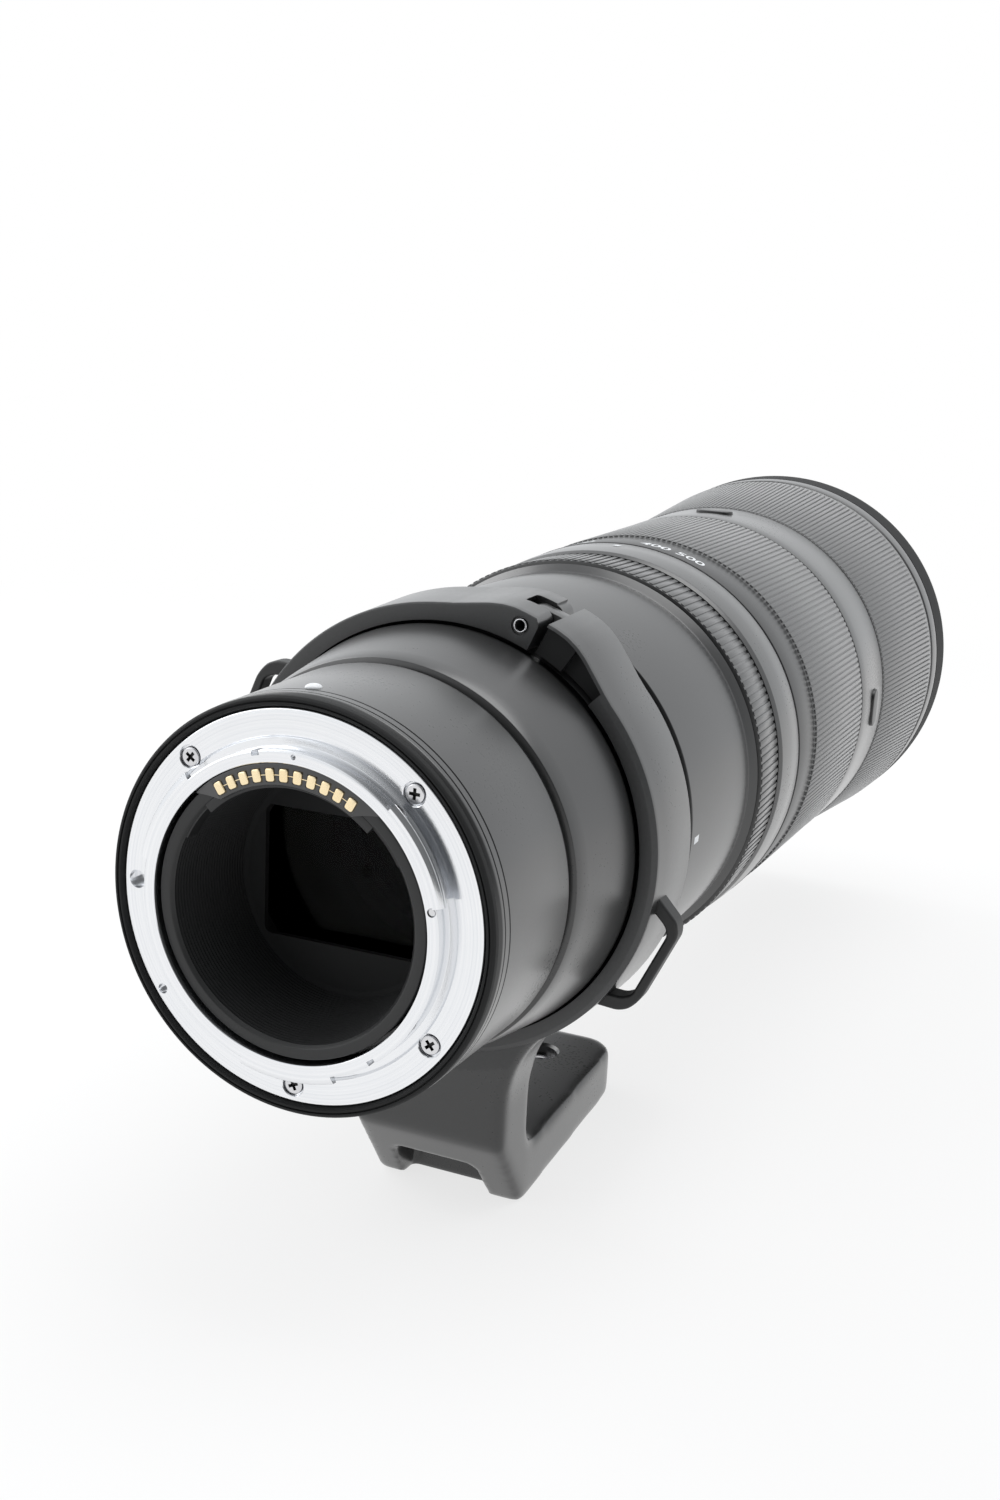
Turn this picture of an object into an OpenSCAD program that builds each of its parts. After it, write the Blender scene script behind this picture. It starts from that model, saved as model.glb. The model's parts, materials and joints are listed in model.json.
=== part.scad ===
// Long internal-zoom camera lens with a hinged tripod collar.
// The origin is the centre of the mount flange, +Y runs forward along the optical axis and +Z is up.
// Angles round the axis are counted from +X towards +Z.

/* [Mount] */
// Radius of the mount flange
flange_r = 33.5; // [32:0.1:35]
// Thickness of the mount flange
flange_t = 2.2; // [1.8:0.1:3]
// Wall of the bayonet neck
neck_wall = 2.1; // [1.8:0.1:2.6]
// How far the bayonet neck stands out behind the flange
neck_len = 3.4; // [3:0.1:4.5]
// How far the bayonet tabs stand out from the neck
tab_rise = 1.3; // [0.8:0.1:1.5]
// Thickness of the bayonet tabs
tab_t = 1.3; // [1:0.1:1.3]
// Distance of the mount screws from the flange's edge
screw_inset = 2.9; // [2.3:0.1:3.3]
// Distance of the mount screws from the bayonet neck
neck_inset = 3.3; // [2.6:0.1:4]
// Radius of a mount screw head
screw_head_r = 1.75; // [1.4:0.05:2]
// Radius of a mount screw shank
screw_r = 0.8; // [0.6:0.05:1]
// Length of a mount screw
screw_len = 5.4; // [4:0.1:7]
// Radius of the lock-pin hole
lock_pin_r = 1.6; // [1.2:0.1:1.9]
// Width of the rubber seal round the flange
gasket_w = 2.0; // [1.2:0.1:3]
// How far the seal lip stands out behind the flange
gasket_lip = 0.6; // [0.3:0.1:1]
// Number of electrical contacts
contact_count = 11; // [7:1:12]
// Angle from one contact to the next
contact_pitch = 6.2; // [5:0.1:7]
// Angle of the middle contact
contact_a = 92.3; // [85:0.1:95]
// Radius of a contact
contact_r = 0.8; // [0.5:0.05:1]

/* [Rear barrel and collar seat] */
// Length of the rear barrel
rear_len = 29.3; // [24:0.1:34]
// How much the rear barrel widens towards the front
rear_flare = 0.8; // [0:0.1:2]
// Thickness of the wall behind the mount flange
rear_wall = 3.8; // [2.5:0.1:5]
// Thickness of the rear barrel's skin
rear_skin = 2.4; // [1.6:0.1:3]
// Length of the flared part behind the collar
flare_len = 21.5; // [15:0.5:28]
// How far the journal that the collar turns on is set below the main barrel
journal_step = 2.6; // [2:0.1:3.1]
// Height of the lip that keeps the collar from sliding back
journal_lip = 0.9; // [0.5:0.1:1.5]

/* [Tripod collar] */
// Width of the collar along the axis
collar_w = 17.6; // [14:0.1:22]
// Thickness of the collar at its rear edge
collar_rear_wall = 2.9; // [2.4:0.1:4]
// Thickness of the collar at its front edge
collar_front_wall = 4.3; // [3:0.1:6]
// Bevel on the collar's rear edge
collar_chamfer = 0.6; // [0.3:0.1:1.2]
// Angle of the hinge round the axis
hinge_a = 70; // [60:1:80]
// Height of the collar base's hump beside the hinge
hump_rise = 3; // [2:0.1:4]
// Length of that hump round the collar, as an angle
hump_sweep = 30; // [24:1:36]
// Height of the collar arm's swelling beside the hinge
arm_rise = 1.9; // [1.2:0.1:3]
// Length of that swelling round the collar, as an angle
arm_sweep = 25; // [20:1:32]
// Thickness of the hump's shell over the pocket behind it
hump_shell = 1.4; // [1:0.1:2]
// Depth of the pocket behind the hump
pocket_depth = 4.6; // [3:0.1:5]
// Radius of the hinge knuckles
knuckle_r = 3.4; // [3:0.1:4]
// Radius of the hinge pin
hinge_pin_r = 1.3; // [1:0.05:1.6]
// Radius of the hole through the hollow hinge pin
hinge_pin_hole_r = 0.7; // [0.4:0.05:0.8]
// Length of the hinge knuckle in the middle
knuckle_w = 6.8; // [5:0.1:9]
// Angle of the split that the lock knob closes
lock_a = 249; // [246:1:252]
// Gap between the lock knob and the collar
knob_gap = 1; // [0.5:0.1:3]
// Radius of the lock screw
lock_screw_r = 2.5; // [2:0.1:3]
// Thickness of each lock lug
lock_lug_t = 7.6; // [6:0.1:9]
// Radius of the lock knob
lock_knob_r = 8; // [6.5:0.1:9]
// Length of the lock knob
lock_knob_len = 11.5; // [8:0.5:15]
// Angle of the strap lug on the foot side
lug_a = -25; // [-34:0.5:-18]
// Angle of the strap lug on the arm side
lug_arm_a = 157.5; // [146:0.5:162]
// How far a strap lug stands out of the collar
lug_rise = 4; // [3.6:0.1:7]
// Length of a strap lug round the collar
lug_len = 26; // [20:0.5:30]
// Thickness of a strap lug along the axis
lug_t = 4; // [3:0.1:5]
// Width of the bars of a strap lug
lug_bar = 2; // [1.6:0.1:2.8]

/* [Foot] */
// Distance from the axis down to the foot's underside
foot_drop = 80; // [74:0.5:90]
// Width of the foot at its neck
foot_w = 33; // [30:0.5:38]
// Width of the foot at its front end
foot_front_w = 28.6; // [24:0.2:30]
// Length of the neck along the axis
neck_depth = 14; // [12:0.5:17]
// Thickness of the foot plate
foot_t = 11.5; // [11:0.5:16]
// Length of the foot from the neck's rear face
foot_len = 74.5; // [64:0.5:84]
// Length of the slope at the foot's rear along the axis
heel_len = 12; // [6:0.5:14]
// Height of the slope at the foot's rear
heel_h = 17; // [12:0.5:20]
// Radius of the foot's front corners
foot_corner_r = 8; // [4:0.5:12]
// Width of the notch in the heel
heel_notch_w = 18; // [12:0.5:22]
// Height of the notch in the heel
heel_notch_h = 10; // [5:0.5:12]
// Depth of the notch in the heel from the neck's rear face
heel_notch_d = 15; // [13:0.5:17]
// Radius of the tripod thread
socket_r = 3.175; // [3.1:0.025:4.8]
// Outer radius of a thread insert
insert_r = 5; // [4.5:0.1:6.5]
// Length of a thread insert
insert_len = 9; // [6:0.5:10]
// Distance from the neck's rear face to the first thread insert
socket_1 = 38; // [28:0.5:40]
// Distance from the first thread insert to the second
socket_pitch = 22; // [18:0.5:28]

/* [Main barrel and rings] */
// Radius of the main barrel
barrel_r = 43; // [42.7:0.1:44]
// Thickness of the main barrel's skin
barrel_skin = 1.75; // [1.4:0.05:2]
// Length of the main barrel up to the shoulder
barrel_len = 44.8; // [40:0.2:52]
// Length of the sloping shoulder
shoulder_len = 3.8; // [2:0.1:6]
// Height of the shoulder
shoulder_rise = 2; // [1:0.1:2.6]
// Length of the control ring
control_len = 13.5; // [7:0.5:16]
// Height of the control ring over the main barrel
control_rise = 2.6; // [2:0.1:3.4]
// Number of ribs round the control ring
control_ribs = 150; // [60:2:180]
// Length of the index ring
index_len = 13.9; // [12:0.1:24]
// Height of the index ring over the main barrel
index_rise = 3.4; // [2.6:0.1:4]
// Length of the zoom ring
zoom_len = 65.1; // [56:0.1:74]
// Length of the smooth scale band on the zoom ring
zoom_band = 14.6; // [8:0.2:18]
// Height of the zoom ring's scale band over the main barrel
zoom_rise = 3.9; // [3.4:0.1:4.6]
// Thickness of the zoom grip at its rear edge
zoom_grip_t = 1.4; // [1:0.1:2.2]
// How much the zoom grip widens towards the front
zoom_flare = 1; // [0:0.1:2]
// Number of ribs round the zoom grip
zoom_ribs = 130; // [60:2:180]
// Length of the button ring
button_ring_len = 21.6; // [18:0.2:28]
// Height of the button ring over the main barrel
button_rise = 5.9; // [5.2:0.1:6.6]
// Length of the focus ring
focus_len = 51.6; // [44:0.2:60]
// Height of the focus grip's rear edge over the main barrel
focus_rise = 6.4; // [5.8:0.1:7]
// How much the focus grip widens towards the front
focus_flare = 4.6; // [2:0.1:6]
// Thickness of the focus grip
focus_grip_t = 1.5; // [1:0.1:2]
// Number of ribs round the focus grip
focus_ribs = 130; // [60:2:180]
// Depth of the ribs on the grips
rib_depth = 0.7; // [0.3:0.1:0.9]

/* [Front] */
// Length of the smooth front lip
lip_len = 17.6; // [12:0.2:24]
// How much the front lip widens
lip_flare = 0.8; // [0:0.1:2]
// Length of the nose that carries the hood
nose_len = 11.5; // [10:0.1:14]
// How far the nose is set back from the lip
nose_step = 2.4; // [1.5:0.1:3]
// Wall of the nose round the filter thread
nose_wall = 5; // [4:0.1:6]
// Depth of the filter thread
filter_depth = 5.5; // [4:0.1:6]
// Thickness of the front retaining ring
retainer_t = 1.8; // [1.2:0.1:2.4]

/* [Buttons and switches] */
// Number of function buttons
button_count = 4; // [4:1:4]
// Width of a function button along the axis
button_w = 5.4; // [4:0.1:7]
// Length of a function button round the ring
button_len = 8.8; // [7.5:0.1:10]
// How far a function button stands proud
button_proud = 0.5; // [0.2:0.1:0.8]
// Travel of a function button
button_travel = 0.6; // [0.4:0.1:0.7]
// Length of the switch panel along the axis
panel_len = 32; // [28:0.5:36]
// Thickness of the switch panel
panel_t = 1.3; // [1:0.1:2]
// Travel of a switch
switch_travel = 3; // [2:0.1:4]
// Length of a switch knob
switch_len = 5; // [4:0.1:6]
// Width of a switch knob
switch_w = 4; // [3:0.1:5]

/* [Inside] */
// Wall of the support tube
support_wall = 2; // [1.6:0.1:2.4]
// Wall of the cam barrel
cam_wall = 2.3; // [1.8:0.1:2.8]
// Wall of the guide barrel
guide_wall = 2.3; // [1.8:0.1:2.8]
// Angle that the zoom ring turns through
zoom_throw = 70; // [50:1:80]
// Travel of the variator
variator_travel = 32; // [24:0.5:34]
// Travel of the compensator
compensator_travel = 12; // [8:0.5:13]
// Radius of a cam roller
roller_r = 1.5; // [1.2:0.1:1.8]
// Length of a zoom cell
cell_len = 11; // [9:0.5:12]
// Wall of a zoom cell
cell_wall = 6.65; // [4:0.05:10]
// Distance from the focus glass to the focus rods
rod_reach = 8.2; // [7.5:0.1:11]
// Travel of the focus cell
focus_travel = 22; // [16:0.5:26]
// Radius of the focus rods
rod_r = 1.5; // [1.2:0.1:1.8]
// Width of the stabiliser's lens cell
vr_cell_w = 13; // [10:0.5:16]
// Travel of the stabiliser to each side
vr_travel = 0.6; // [0.4:0.1:0.7]
// Width of a diaphragm blade
blade_w = 5.4; // [4.6:0.1:7]
// Number of diaphragm blades
blade_count = 9; // [9:1:9]
// Thickness of a diaphragm blade
blade_t = 0.2; // [0.1:0.05:0.25]
// Angle that each blade turns through
blade_throw = 25; // [15:1:27]
// Wall of the baffle round the rear glass
baffle_wall = 2.6; // [2.2:0.1:4]
// Width of the opening in the rear light mask
mask_w = 32; // [26:0.5:34]
// Height of the opening in the rear light mask
mask_h = 23.5; // [18:0.5:26]
// Depth of the rear light mask in front of the mount plate
mask_depth = 14.3; // [10:0.1:16]

/* [Clearances] */
// Running gap between pieces that move past each other
run = 0.3; // [0.25:0.05:0.4]
// Gap between pieces that are fixed together
fit = 0.05; // [0.02:0.01:0.08]
// Gap of a pin or rod in its bore
bore_gap = 0.06; // [0.03:0.01:0.09]
// Gap along the axis between neighbouring rings
ring_gap = 0.4; // [0.3:0.1:0.8]

/* [Hidden] */
$fn = 96;

// Angles of the mount screws and the bayonet tabs
screw_angles = [132, 48, -36, -90];
tab_starts = [13, 133, 253];
tab_sweep = 36;
screw_circle_r = flange_r - screw_inset;
neck_r = screw_circle_r - neck_inset;
throat_r = neck_r - neck_wall;
tab_r = neck_r + tab_rise;
screw_head_t = 1.1;
gasket_t = flange_t - 0.6;
gasket_r = flange_r + gasket_w;
rear_r = gasket_r + 0.1;
rear_front_r = rear_r + rear_flare;
rear_in_r = rear_r - rear_skin;
wall_y = flange_t + fit + rear_wall;

// Baffle, contacts and rear glass
baffle_r = throat_r - 0.6;
baffle_in_r = baffle_r - 3.6;
rear_glass_r = baffle_r - baffle_wall;
baffle_rear_y = 1 - neck_len;
mask_y = flange_t + mask_depth;
rear_glass_y = mask_y + 3;
baffle_end_y = rear_glass_y + 12.5;
contact_circle_r = throat_r - 2;
contact_span = contact_pitch*(contact_count + 1)/2;
block_in_r = contact_circle_r - 1.8;
block_y = 0.4 - neck_len;
contact_proud = 0.4;

// Stations along the axis
seat_y = rear_len + 0.3;
lip_y = seat_y + flare_len - 0.6;
journal_y = seat_y + flare_len;
collar_gap = 0.6;
collar_y = journal_y + collar_gap;
collar_end = collar_y + collar_w;
barrel_y = collar_end + collar_gap;
shoulder_y = barrel_y + barrel_len;
control_y = shoulder_y + shoulder_len + ring_gap;
index_y = control_y + control_len + ring_gap;
zoom_y = index_y + index_len + ring_gap;
zoom_end = zoom_y + zoom_len;
button_y = zoom_end + ring_gap;
focus_y = button_y + button_ring_len + ring_gap;
front_y = focus_y + focus_len + ring_gap;
rim_y = front_y + lip_len;
nose_y = rim_y + nose_len;

// Radii of the nested tubes, from the outside inwards
support_r = barrel_r - barrel_skin - fit;
support_in_r = support_r - support_wall;
cam_r = support_in_r - run;
cam_in_r = cam_r - cam_wall;
guide_r = cam_in_r - run;
guide_in_r = guide_r - guide_wall;
cell_r = guide_in_r - run;
zoom_glass_r = cell_r - cell_wall - fit;
spigot_r = barrel_r - 0.1;
front_tube_r = barrel_r + 3.6;
front_tube_in_r = front_tube_r - 1.8;
zoom_band_r = barrel_r + zoom_rise;
zoom_core_r = zoom_band_r - 0.7;
button_ring_r = barrel_r + button_rise;
focus_core_in_r = front_tube_r + run;
focus_rear_r = barrel_r + focus_rise;
focus_front_r = focus_rear_r + focus_flare;
lip_r = focus_front_r + 0.1;
rim_r = lip_r + lip_flare;
nose_r = rim_r - nose_step;
filter_r = nose_r - nose_wall;

rib_root = 0.1;

// Collar
journal_r = barrel_r - journal_step;
collar_in_r = journal_r + run;
collar_rear_r = collar_in_r + collar_rear_wall;
collar_front_r = collar_in_r + collar_front_wall;
hinge_r = collar_in_r + knuckle_r + 0.1;
knuckle_y = collar_y + (collar_w - knuckle_w)/2;
knuckle_gap = 0.4;
hump_flat = 5;
pocket_start = 6.5;
pocket_end = 8;
arm_start = hinge_a;
arm_end = lock_a - 0.5;
base_start = lock_a + 0.5;
base_sweep = 360 + hinge_a - base_start;
lug_mid_y = collar_y + collar_w/3;
lock_y = collar_y + collar_w/2;
lock_r = collar_front_r + knob_gap + lock_knob_r;
lock_lug_w = 13;
lock_lug_top = lock_r + 6;
lock_gap = 0.4;
lock_grip = 4;
lock_hole_gap = 0.4;
knob_flutes = 12;

// Foot
foot_set_back = collar_chamfer + 0.3;
foot_y = collar_y + foot_set_back;
foot_top = foot_t - foot_drop;
foot_crook = 5;
socket_ys = [foot_y + socket_1, foot_y + socket_1 + socket_pitch];
sight_hole_r = 4.2;

// Buttons and switches
button_mid_y = button_y + button_ring_len/2;
button_lip = 0.7;
button_flange_t = 0.5;
button_seat_r = front_tube_r + fit + button_travel + 0.1;
button_gap = 0.15;
panel_y = barrel_y + 6;
panel_sweep = 34;
panel_end = panel_y + panel_len;
panel_margin = 6;
switch_ys = [panel_y + panel_margin, panel_end - panel_margin - switch_len - switch_travel];

// Zoom drive
variator_y = zoom_y + 29;
compensator_y = zoom_y + 15;
cell_end = cell_len/2;
slot_gap = 0.35;
guide_flange = 2;
guide_y = compensator_y - compensator_travel - cell_end - 2.5;
guide_end = variator_y + variator_travel + cell_end + 4;
cam_y = guide_y + guide_flange + run;
cam_end = guide_end - 2;
variator_angles = [30, 150, 270];
compensator_angles = [90, 210, 330];
key_a = 20;
key_w = 6;
key_len = 5;
land_len = 9;
key_y = zoom_end - 7;
key_r = support_r + run + 1.6;

// Focus cell, stabiliser and diaphragm
spigot_y = barrel_y + 10;
seat_flange_y = seat_y + 10;
seat_flange_t = 4;
focus_cell_len = 12;
focus_cell_y = journal_y + 9;
focus_reserve = 10.2;
ledge_in_r = support_in_r - 12.2;
ledge_t = 2;
ledge_y = focus_cell_y + focus_cell_len + focus_travel + focus_reserve;
rod_circle_r = support_in_r - 9;
focus_glass_r = rod_circle_r - rod_reach;
seat_flange_in_r = rod_circle_r - 4.2;
yoke_w = 8;
yoke_h = 4;
yoke_z = rod_circle_r - 1.2;
coil_gap = 0.5;
coil_wall = 2;
vr_y = ledge_y + ledge_t + run;
vr_yaw_t = 4;
vr_cell_t = 6;
vr_yaw_r = support_in_r - vr_travel - run;
vr_cell_r = support_in_r - 9.2;
vr_glass_r = vr_cell_r - vr_cell_w;
iris_y = control_y + 7;
iris_plate_t = 2;
iris_ring_r = support_in_r - 5.2;
iris_ring_in_r = iris_ring_r - 4.4;
pivot_r = iris_ring_in_r - 3.6;
pivot_pin_r = 0.7;
blade_root = 2.4;
blade_r = pivot_r - blade_root;
iris_r = blade_r - blade_w - 0.2;
tail_len = 4.5;
tail_tip_r = 0.8;
blade_pitch = blade_t + 0.15;
blade_y = iris_y + iris_plate_t + run;
iris_ring_t = blade_count*blade_pitch + 0.1;
iris_slot_a = atan(tail_len*sin(blade_throw/2)/(pivot_r + tail_len*cos(blade_throw/2)));

// Front glass
front_glass_r = filter_r - 1.6;
front_glass_y = front_y + 2;
front_bow = 2;
retainer_y = nose_y - filter_depth - 0.4 - retainer_t;

// Shapes used by many pieces

// Puts a piece built at +X at an angle round the axis
module at(a) {
    rotate([0, -a, 0]) children();
}

// Turns an outline of [radius, y] points round the axis
module turned(outline, from = 0, sweep = 360) {
    at(from) rotate([90, 0, 0])
        rotate_extrude(angle = sweep) polygon([for (p = outline) [p[0], -p[1]]]);
}

module tube(r_in, r_out, y0, y1, from = 0, sweep = 360) {
    turned([[r_in, y0], [r_out, y0], [r_out, y1], [r_in, y1]], from, sweep);
}

module bar(r, y0, y1) {
    translate([0, y0, 0]) rotate([-90, 0, 0]) cylinder(h = y1 - y0, r = r);
}

// Cylinder along +X from one radius to another
module spoke(r, r0, r1) {
    translate([r0, 0, 0]) rotate([0, 90, 0]) cylinder(h = r1 - r0, r = r);
}

// Extrudes a flat shape in the XZ plane between two stations
module slab(y0, y1) {
    translate([0, y1, 0]) rotate([90, 0, 0]) linear_extrude(height = y1 - y0) children();
}

module block(low, high) {
    translate(low) cube(high - low);
}

// Ribbed skin that may widen from one end to the other
module ribbed_skin(y0, y1, r0, r1, ribs) {
    tips = [for (i = [0:2*ribs - 1]) r0 - (i % 2)*rib_depth];
    translate([0, y0, 0]) rotate([-90, 0, 0]) linear_extrude(height = y1 - y0, scale = r1/r0)
        polygon([for (i = [0:2*ribs - 1]) tips[i]*[cos(180*i/ribs), sin(180*i/ribs)]]);
}

// Points along a lens face from the edge to the axis, which stands "bow" past its station at the axis
function face(r, y, bow) = [for (t = [1:-0.125:0]) [r*t, y + bow*(1 - t*t)]];

// Lens element between two stations, with the bow of each face: positive bulges out and negative hollows in
module glass(r, y0, y1, rear_bow, front_bow) {
    front = face(r, y1, front_bow);
    rear = face(r, y0, -rear_bow);
    turned(concat(front, [for (i = [len(rear) - 1:-1:0]) rear[i]]));
}

// Mount

module mount_plate() {
    color("silver") difference() {
        union() {
            turned([[throat_r, -neck_len], [neck_r, -neck_len], [neck_r, 0], [flange_r - 0.4, 0],
                [flange_r, 0.4], [flange_r, flange_t], [throat_r, flange_t]]);
            for (a = tab_starts) tube(neck_r - 0.5, tab_r, -neck_len, tab_t - neck_len, a, tab_sweep);
        }
        for (a = screw_angles) at(a) translate([screw_circle_r, 0, 0]) {
            bar(screw_head_r + fit, -1, screw_head_t + fit);
            bar(screw_r + fit, 0, flange_t + 1);
        }
        at(180) translate([screw_circle_r + 0.3, 0, 0]) bar(lock_pin_r, -1, flange_t + 1);
    }
}

module mount_screws() {
    cross_w = screw_head_r*0.3;
    cross_l = screw_head_r*0.7;
    color("gainsboro") for (a = screw_angles) at(a) translate([screw_circle_r, 0, 0]) difference() {
        union() {
            bar(screw_head_r, 0.1, screw_head_t);
            bar(screw_r, screw_head_t - 0.1, screw_len);
        }
        block([-cross_l, -1, -cross_w/2], [cross_l, 0.7, cross_w/2]);
        block([-cross_w/2, -1, -cross_l], [cross_w/2, 0.7, cross_l]);
    }
}

module mount_gasket() {
    color("dimgray") turned([[flange_r + fit, 0.5], [flange_r + gasket_w*0.3, -gasket_lip],
        [gasket_r - 0.4, -gasket_lip], [gasket_r, 0], [gasket_r, gasket_t],
        [flange_r + fit, gasket_t]]);
}

// Space that the contact block takes out of the baffle
module contact_space(gap) {
    tube(block_in_r - gap, throat_r + 1, block_y - 2, flange_t + gap, contact_a - contact_span - gap,
        2*contact_span + 2*gap);
}

module contact_block() {
    color([0.07, 0.07, 0.08]) difference() {
        tube(block_in_r, throat_r - fit, block_y, flange_t, contact_a - contact_span,
            2*contact_span);
        for (i = [0:contact_count - 1]) contact_at(i) bar(contact_r + fit, block_y - 1, block_y + 2);
    }
}

module contact_at(i) {
    at(contact_a + (i - (contact_count - 1)/2)*contact_pitch) translate([contact_circle_r, 0, 0]) children();
}

module contact_pins() {
    color("gold") for (i = [0:contact_count - 1])
        contact_at(i) bar(contact_r, block_y - contact_proud, block_y + 2);
}

module rear_light_baffle() {
    rings = 12;
    ring_w = (mask_y - baffle_rear_y)/rings;
    ring_step = 0.1;
    steps = [for (i = [0:rings - 1]) each [
        [baffle_in_r + 1.2 - i*ring_step, baffle_rear_y + i*ring_w],
        [baffle_in_r + 0.6 - i*ring_step, baffle_rear_y + (i + 0.6)*ring_w]]];
    color([0.08, 0.08, 0.09]) difference() {
        union() {
            turned(concat(steps, [[baffle_in_r - 1, mask_y], [baffle_in_r - 1, rear_glass_y],
                [rear_glass_r + fit, rear_glass_y], [rear_glass_r + fit, baffle_end_y],
                [baffle_r, baffle_end_y], [baffle_r, baffle_rear_y]]));
            bar(baffle_in_r - 0.5, mask_y, mask_y + 1.2);
        }
        block([-mask_w/2, mask_y - 1, -mask_h/2], [mask_w/2, mask_y + 2, mask_h/2]);
        contact_space(fit);
    }
}

module rear_elements() {
    color([0.6, 0.75, 0.8, 0.5]) {
        glass(rear_glass_r, rear_glass_y + fit, rear_glass_y + 3.5, -2, 1.5);
        glass(rear_glass_r, rear_glass_y + 6, rear_glass_y + 10, 1, 2);
    }
}

// Barrels that stay put

module rear_barrel() {
    groove = 0.25;
    grooves = [for (y = [flange_t + 0.4, flange_t + 2.4]) each [
        [rear_r, y], [rear_r - groove, y + groove], [rear_r, y + 2*groove]]];
    color([0.22, 0.22, 0.23]) difference() {
        turned(concat([[baffle_r + fit, flange_t + fit], [flange_r + fit, flange_t + fit],
            [flange_r + fit, gasket_t + fit], [rear_r, gasket_t + fit]], grooves,
            [[rear_front_r, rear_len], [rear_in_r, rear_len], [rear_in_r, wall_y],
            [baffle_r + fit, wall_y]]));
        for (a = screw_angles) at(a) translate([screw_circle_r, 0, 0])
            bar(screw_r + fit, 0, screw_len + 0.2);
    }
}

module main_board() {
    color("darkgreen") difference() {
        tube(baffle_r + 1, rear_in_r - 0.6, wall_y + fit, wall_y + 1.2);
        block([-4, 0, -rear_r], [4, wall_y + 4, 0]);
    }
}

// Places the children on the two focus rods
module at_rods() {
    for (a = [0, 180]) at(a) translate([rod_circle_r, 0, 0]) children();
}

module collar_seat() {
    spigot = rear_in_r - fit;
    in_r = spigot - 1.6;
    bore = journal_r - 3;
    flange_end = seat_flange_y + seat_flange_t;
    color([0.25, 0.25, 0.26]) difference() {
        turned([[in_r, seat_y - 5], [spigot, seat_y - 5], [spigot, rear_len + fit],
            [rear_front_r - 0.4, rear_len + fit], [rear_front_r - 0.4, seat_y],
            [rear_front_r + 0.4, seat_y + 0.3],
            [journal_r + journal_lip, lip_y], [journal_r + journal_lip, journal_y],
            [journal_r, journal_y],
            [journal_r, barrel_y], [support_in_r - fit, barrel_y], [support_in_r - fit, spigot_y],
            [bore, spigot_y], [bore, flange_end + 3], [bore - 3, flange_end],
            [seat_flange_in_r, flange_end], [seat_flange_in_r, seat_flange_y], [in_r, seat_flange_y]]);
        at_rods() bar(rod_r + fit, seat_flange_y + 1, flange_end + 1);
    }
}

module support_tube() {
    slot_a = asin((key_w/2 + run)/cam_r);
    color([0.3, 0.3, 0.32]) difference() {
        turned([[support_in_r, barrel_y + fit], [support_r, barrel_y + fit], [support_r, focus_y + 2],
            [support_in_r, focus_y + 2], [support_in_r, ledge_y + ledge_t],
            [ledge_in_r, ledge_y + ledge_t],
            [ledge_in_r, ledge_y], [support_in_r, ledge_y]]);
        tube(support_in_r - 1, support_r + 1, key_y - run, key_y + key_len + run,
            key_a - zoom_throw - slot_a - 1, zoom_throw + 2*slot_a + 2);
        at_rods() bar(rod_r + fit, ledge_y - 1, ledge_y + 1);
    }
}

module main_barrel() {
    color([0.24, 0.24, 0.25]) turned([[support_r + fit, barrel_y + fit],
        [barrel_r - 0.3, barrel_y + fit],
        [barrel_r, barrel_y + 0.4], [barrel_r, shoulder_y],
        [barrel_r + shoulder_rise, shoulder_y + shoulder_len],
        [spigot_r, shoulder_y + shoulder_len], [spigot_r, zoom_y - ring_gap - fit],
        [support_r + fit, zoom_y - ring_gap - fit]]);
}

module switch_panel() {
    color([0.14, 0.14, 0.15]) difference() {
        tube(barrel_r + fit, barrel_r + panel_t, panel_y, panel_end, 180 - panel_sweep/2, panel_sweep);
        for (y = switch_ys) at(180) block([barrel_r - 1, y - run, -switch_w/2 - run],
            [barrel_r + panel_t + 2, y + switch_len + switch_travel + run, switch_w/2 + run]);
    }
}

module switch_knob(y) {
    color([0.08, 0.08, 0.09]) at(180) difference() {
        block([barrel_r + 0.2, y, -switch_w/2], [barrel_r + panel_t + 1.2, y + switch_len, switch_w/2]);
        for (i = [1:3]) block([barrel_r + panel_t + 0.8, y + i*switch_len/4 - 0.3, -switch_w],
            [barrel_r + panel_t + 2, y + i*switch_len/4 + 0.3, switch_w]);
    }
}

module index_ring() {
    r0 = barrel_r + index_rise - 0.2;
    r1 = barrel_r + index_rise + 0.4;
    end_y = zoom_y - ring_gap;
    color([0.24, 0.24, 0.25]) turned([[spigot_r + fit, index_y], [r0 - 0.4, index_y],
        [r0, index_y + 0.4],
        [r1, end_y - 0.3], [r1 - 0.3, end_y], [spigot_r + fit, end_y]]);
}

module guide_barrel() {
    slot_w = roller_r + slot_gap;
    color([0.35, 0.35, 0.37]) difference() {
        turned([[guide_in_r, guide_y], [support_in_r - fit, guide_y],
            [support_in_r - fit, guide_y + guide_flange], [guide_r, guide_y + guide_flange],
            [guide_r, guide_end], [guide_in_r, guide_end]]);
        for (a = variator_angles) at(a) block([guide_in_r - 1, variator_y - slot_w, -slot_w],
            [guide_r + 1, variator_y + variator_travel + slot_w, slot_w]);
        for (a = compensator_angles) at(a)
            block([guide_in_r - 1, compensator_y - compensator_travel - slot_w, -slot_w],
                [guide_r + 1, compensator_y + slot_w, slot_w]);
    }
}

module button_ring() {
    color([0.22, 0.22, 0.23]) difference() {
        turned([[front_tube_r + fit, button_y], [button_ring_r - 0.6, button_y],
            [button_ring_r - 0.3, button_y + 0.3], [button_ring_r + 0.3, focus_y - ring_gap - 0.3],
            [button_ring_r, focus_y - ring_gap],
            [front_tube_r + fit, focus_y - ring_gap]]);
        for (i = [0:button_count - 1]) at(90*i) translate([0, button_mid_y, 0]) {
            oblong(button_gap, front_tube_r - 1, button_ring_r + 2);
            oblong(button_lip + button_gap, front_tube_r - 1, button_seat_r + button_flange_t + 0.1);
        }
    }
}

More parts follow.
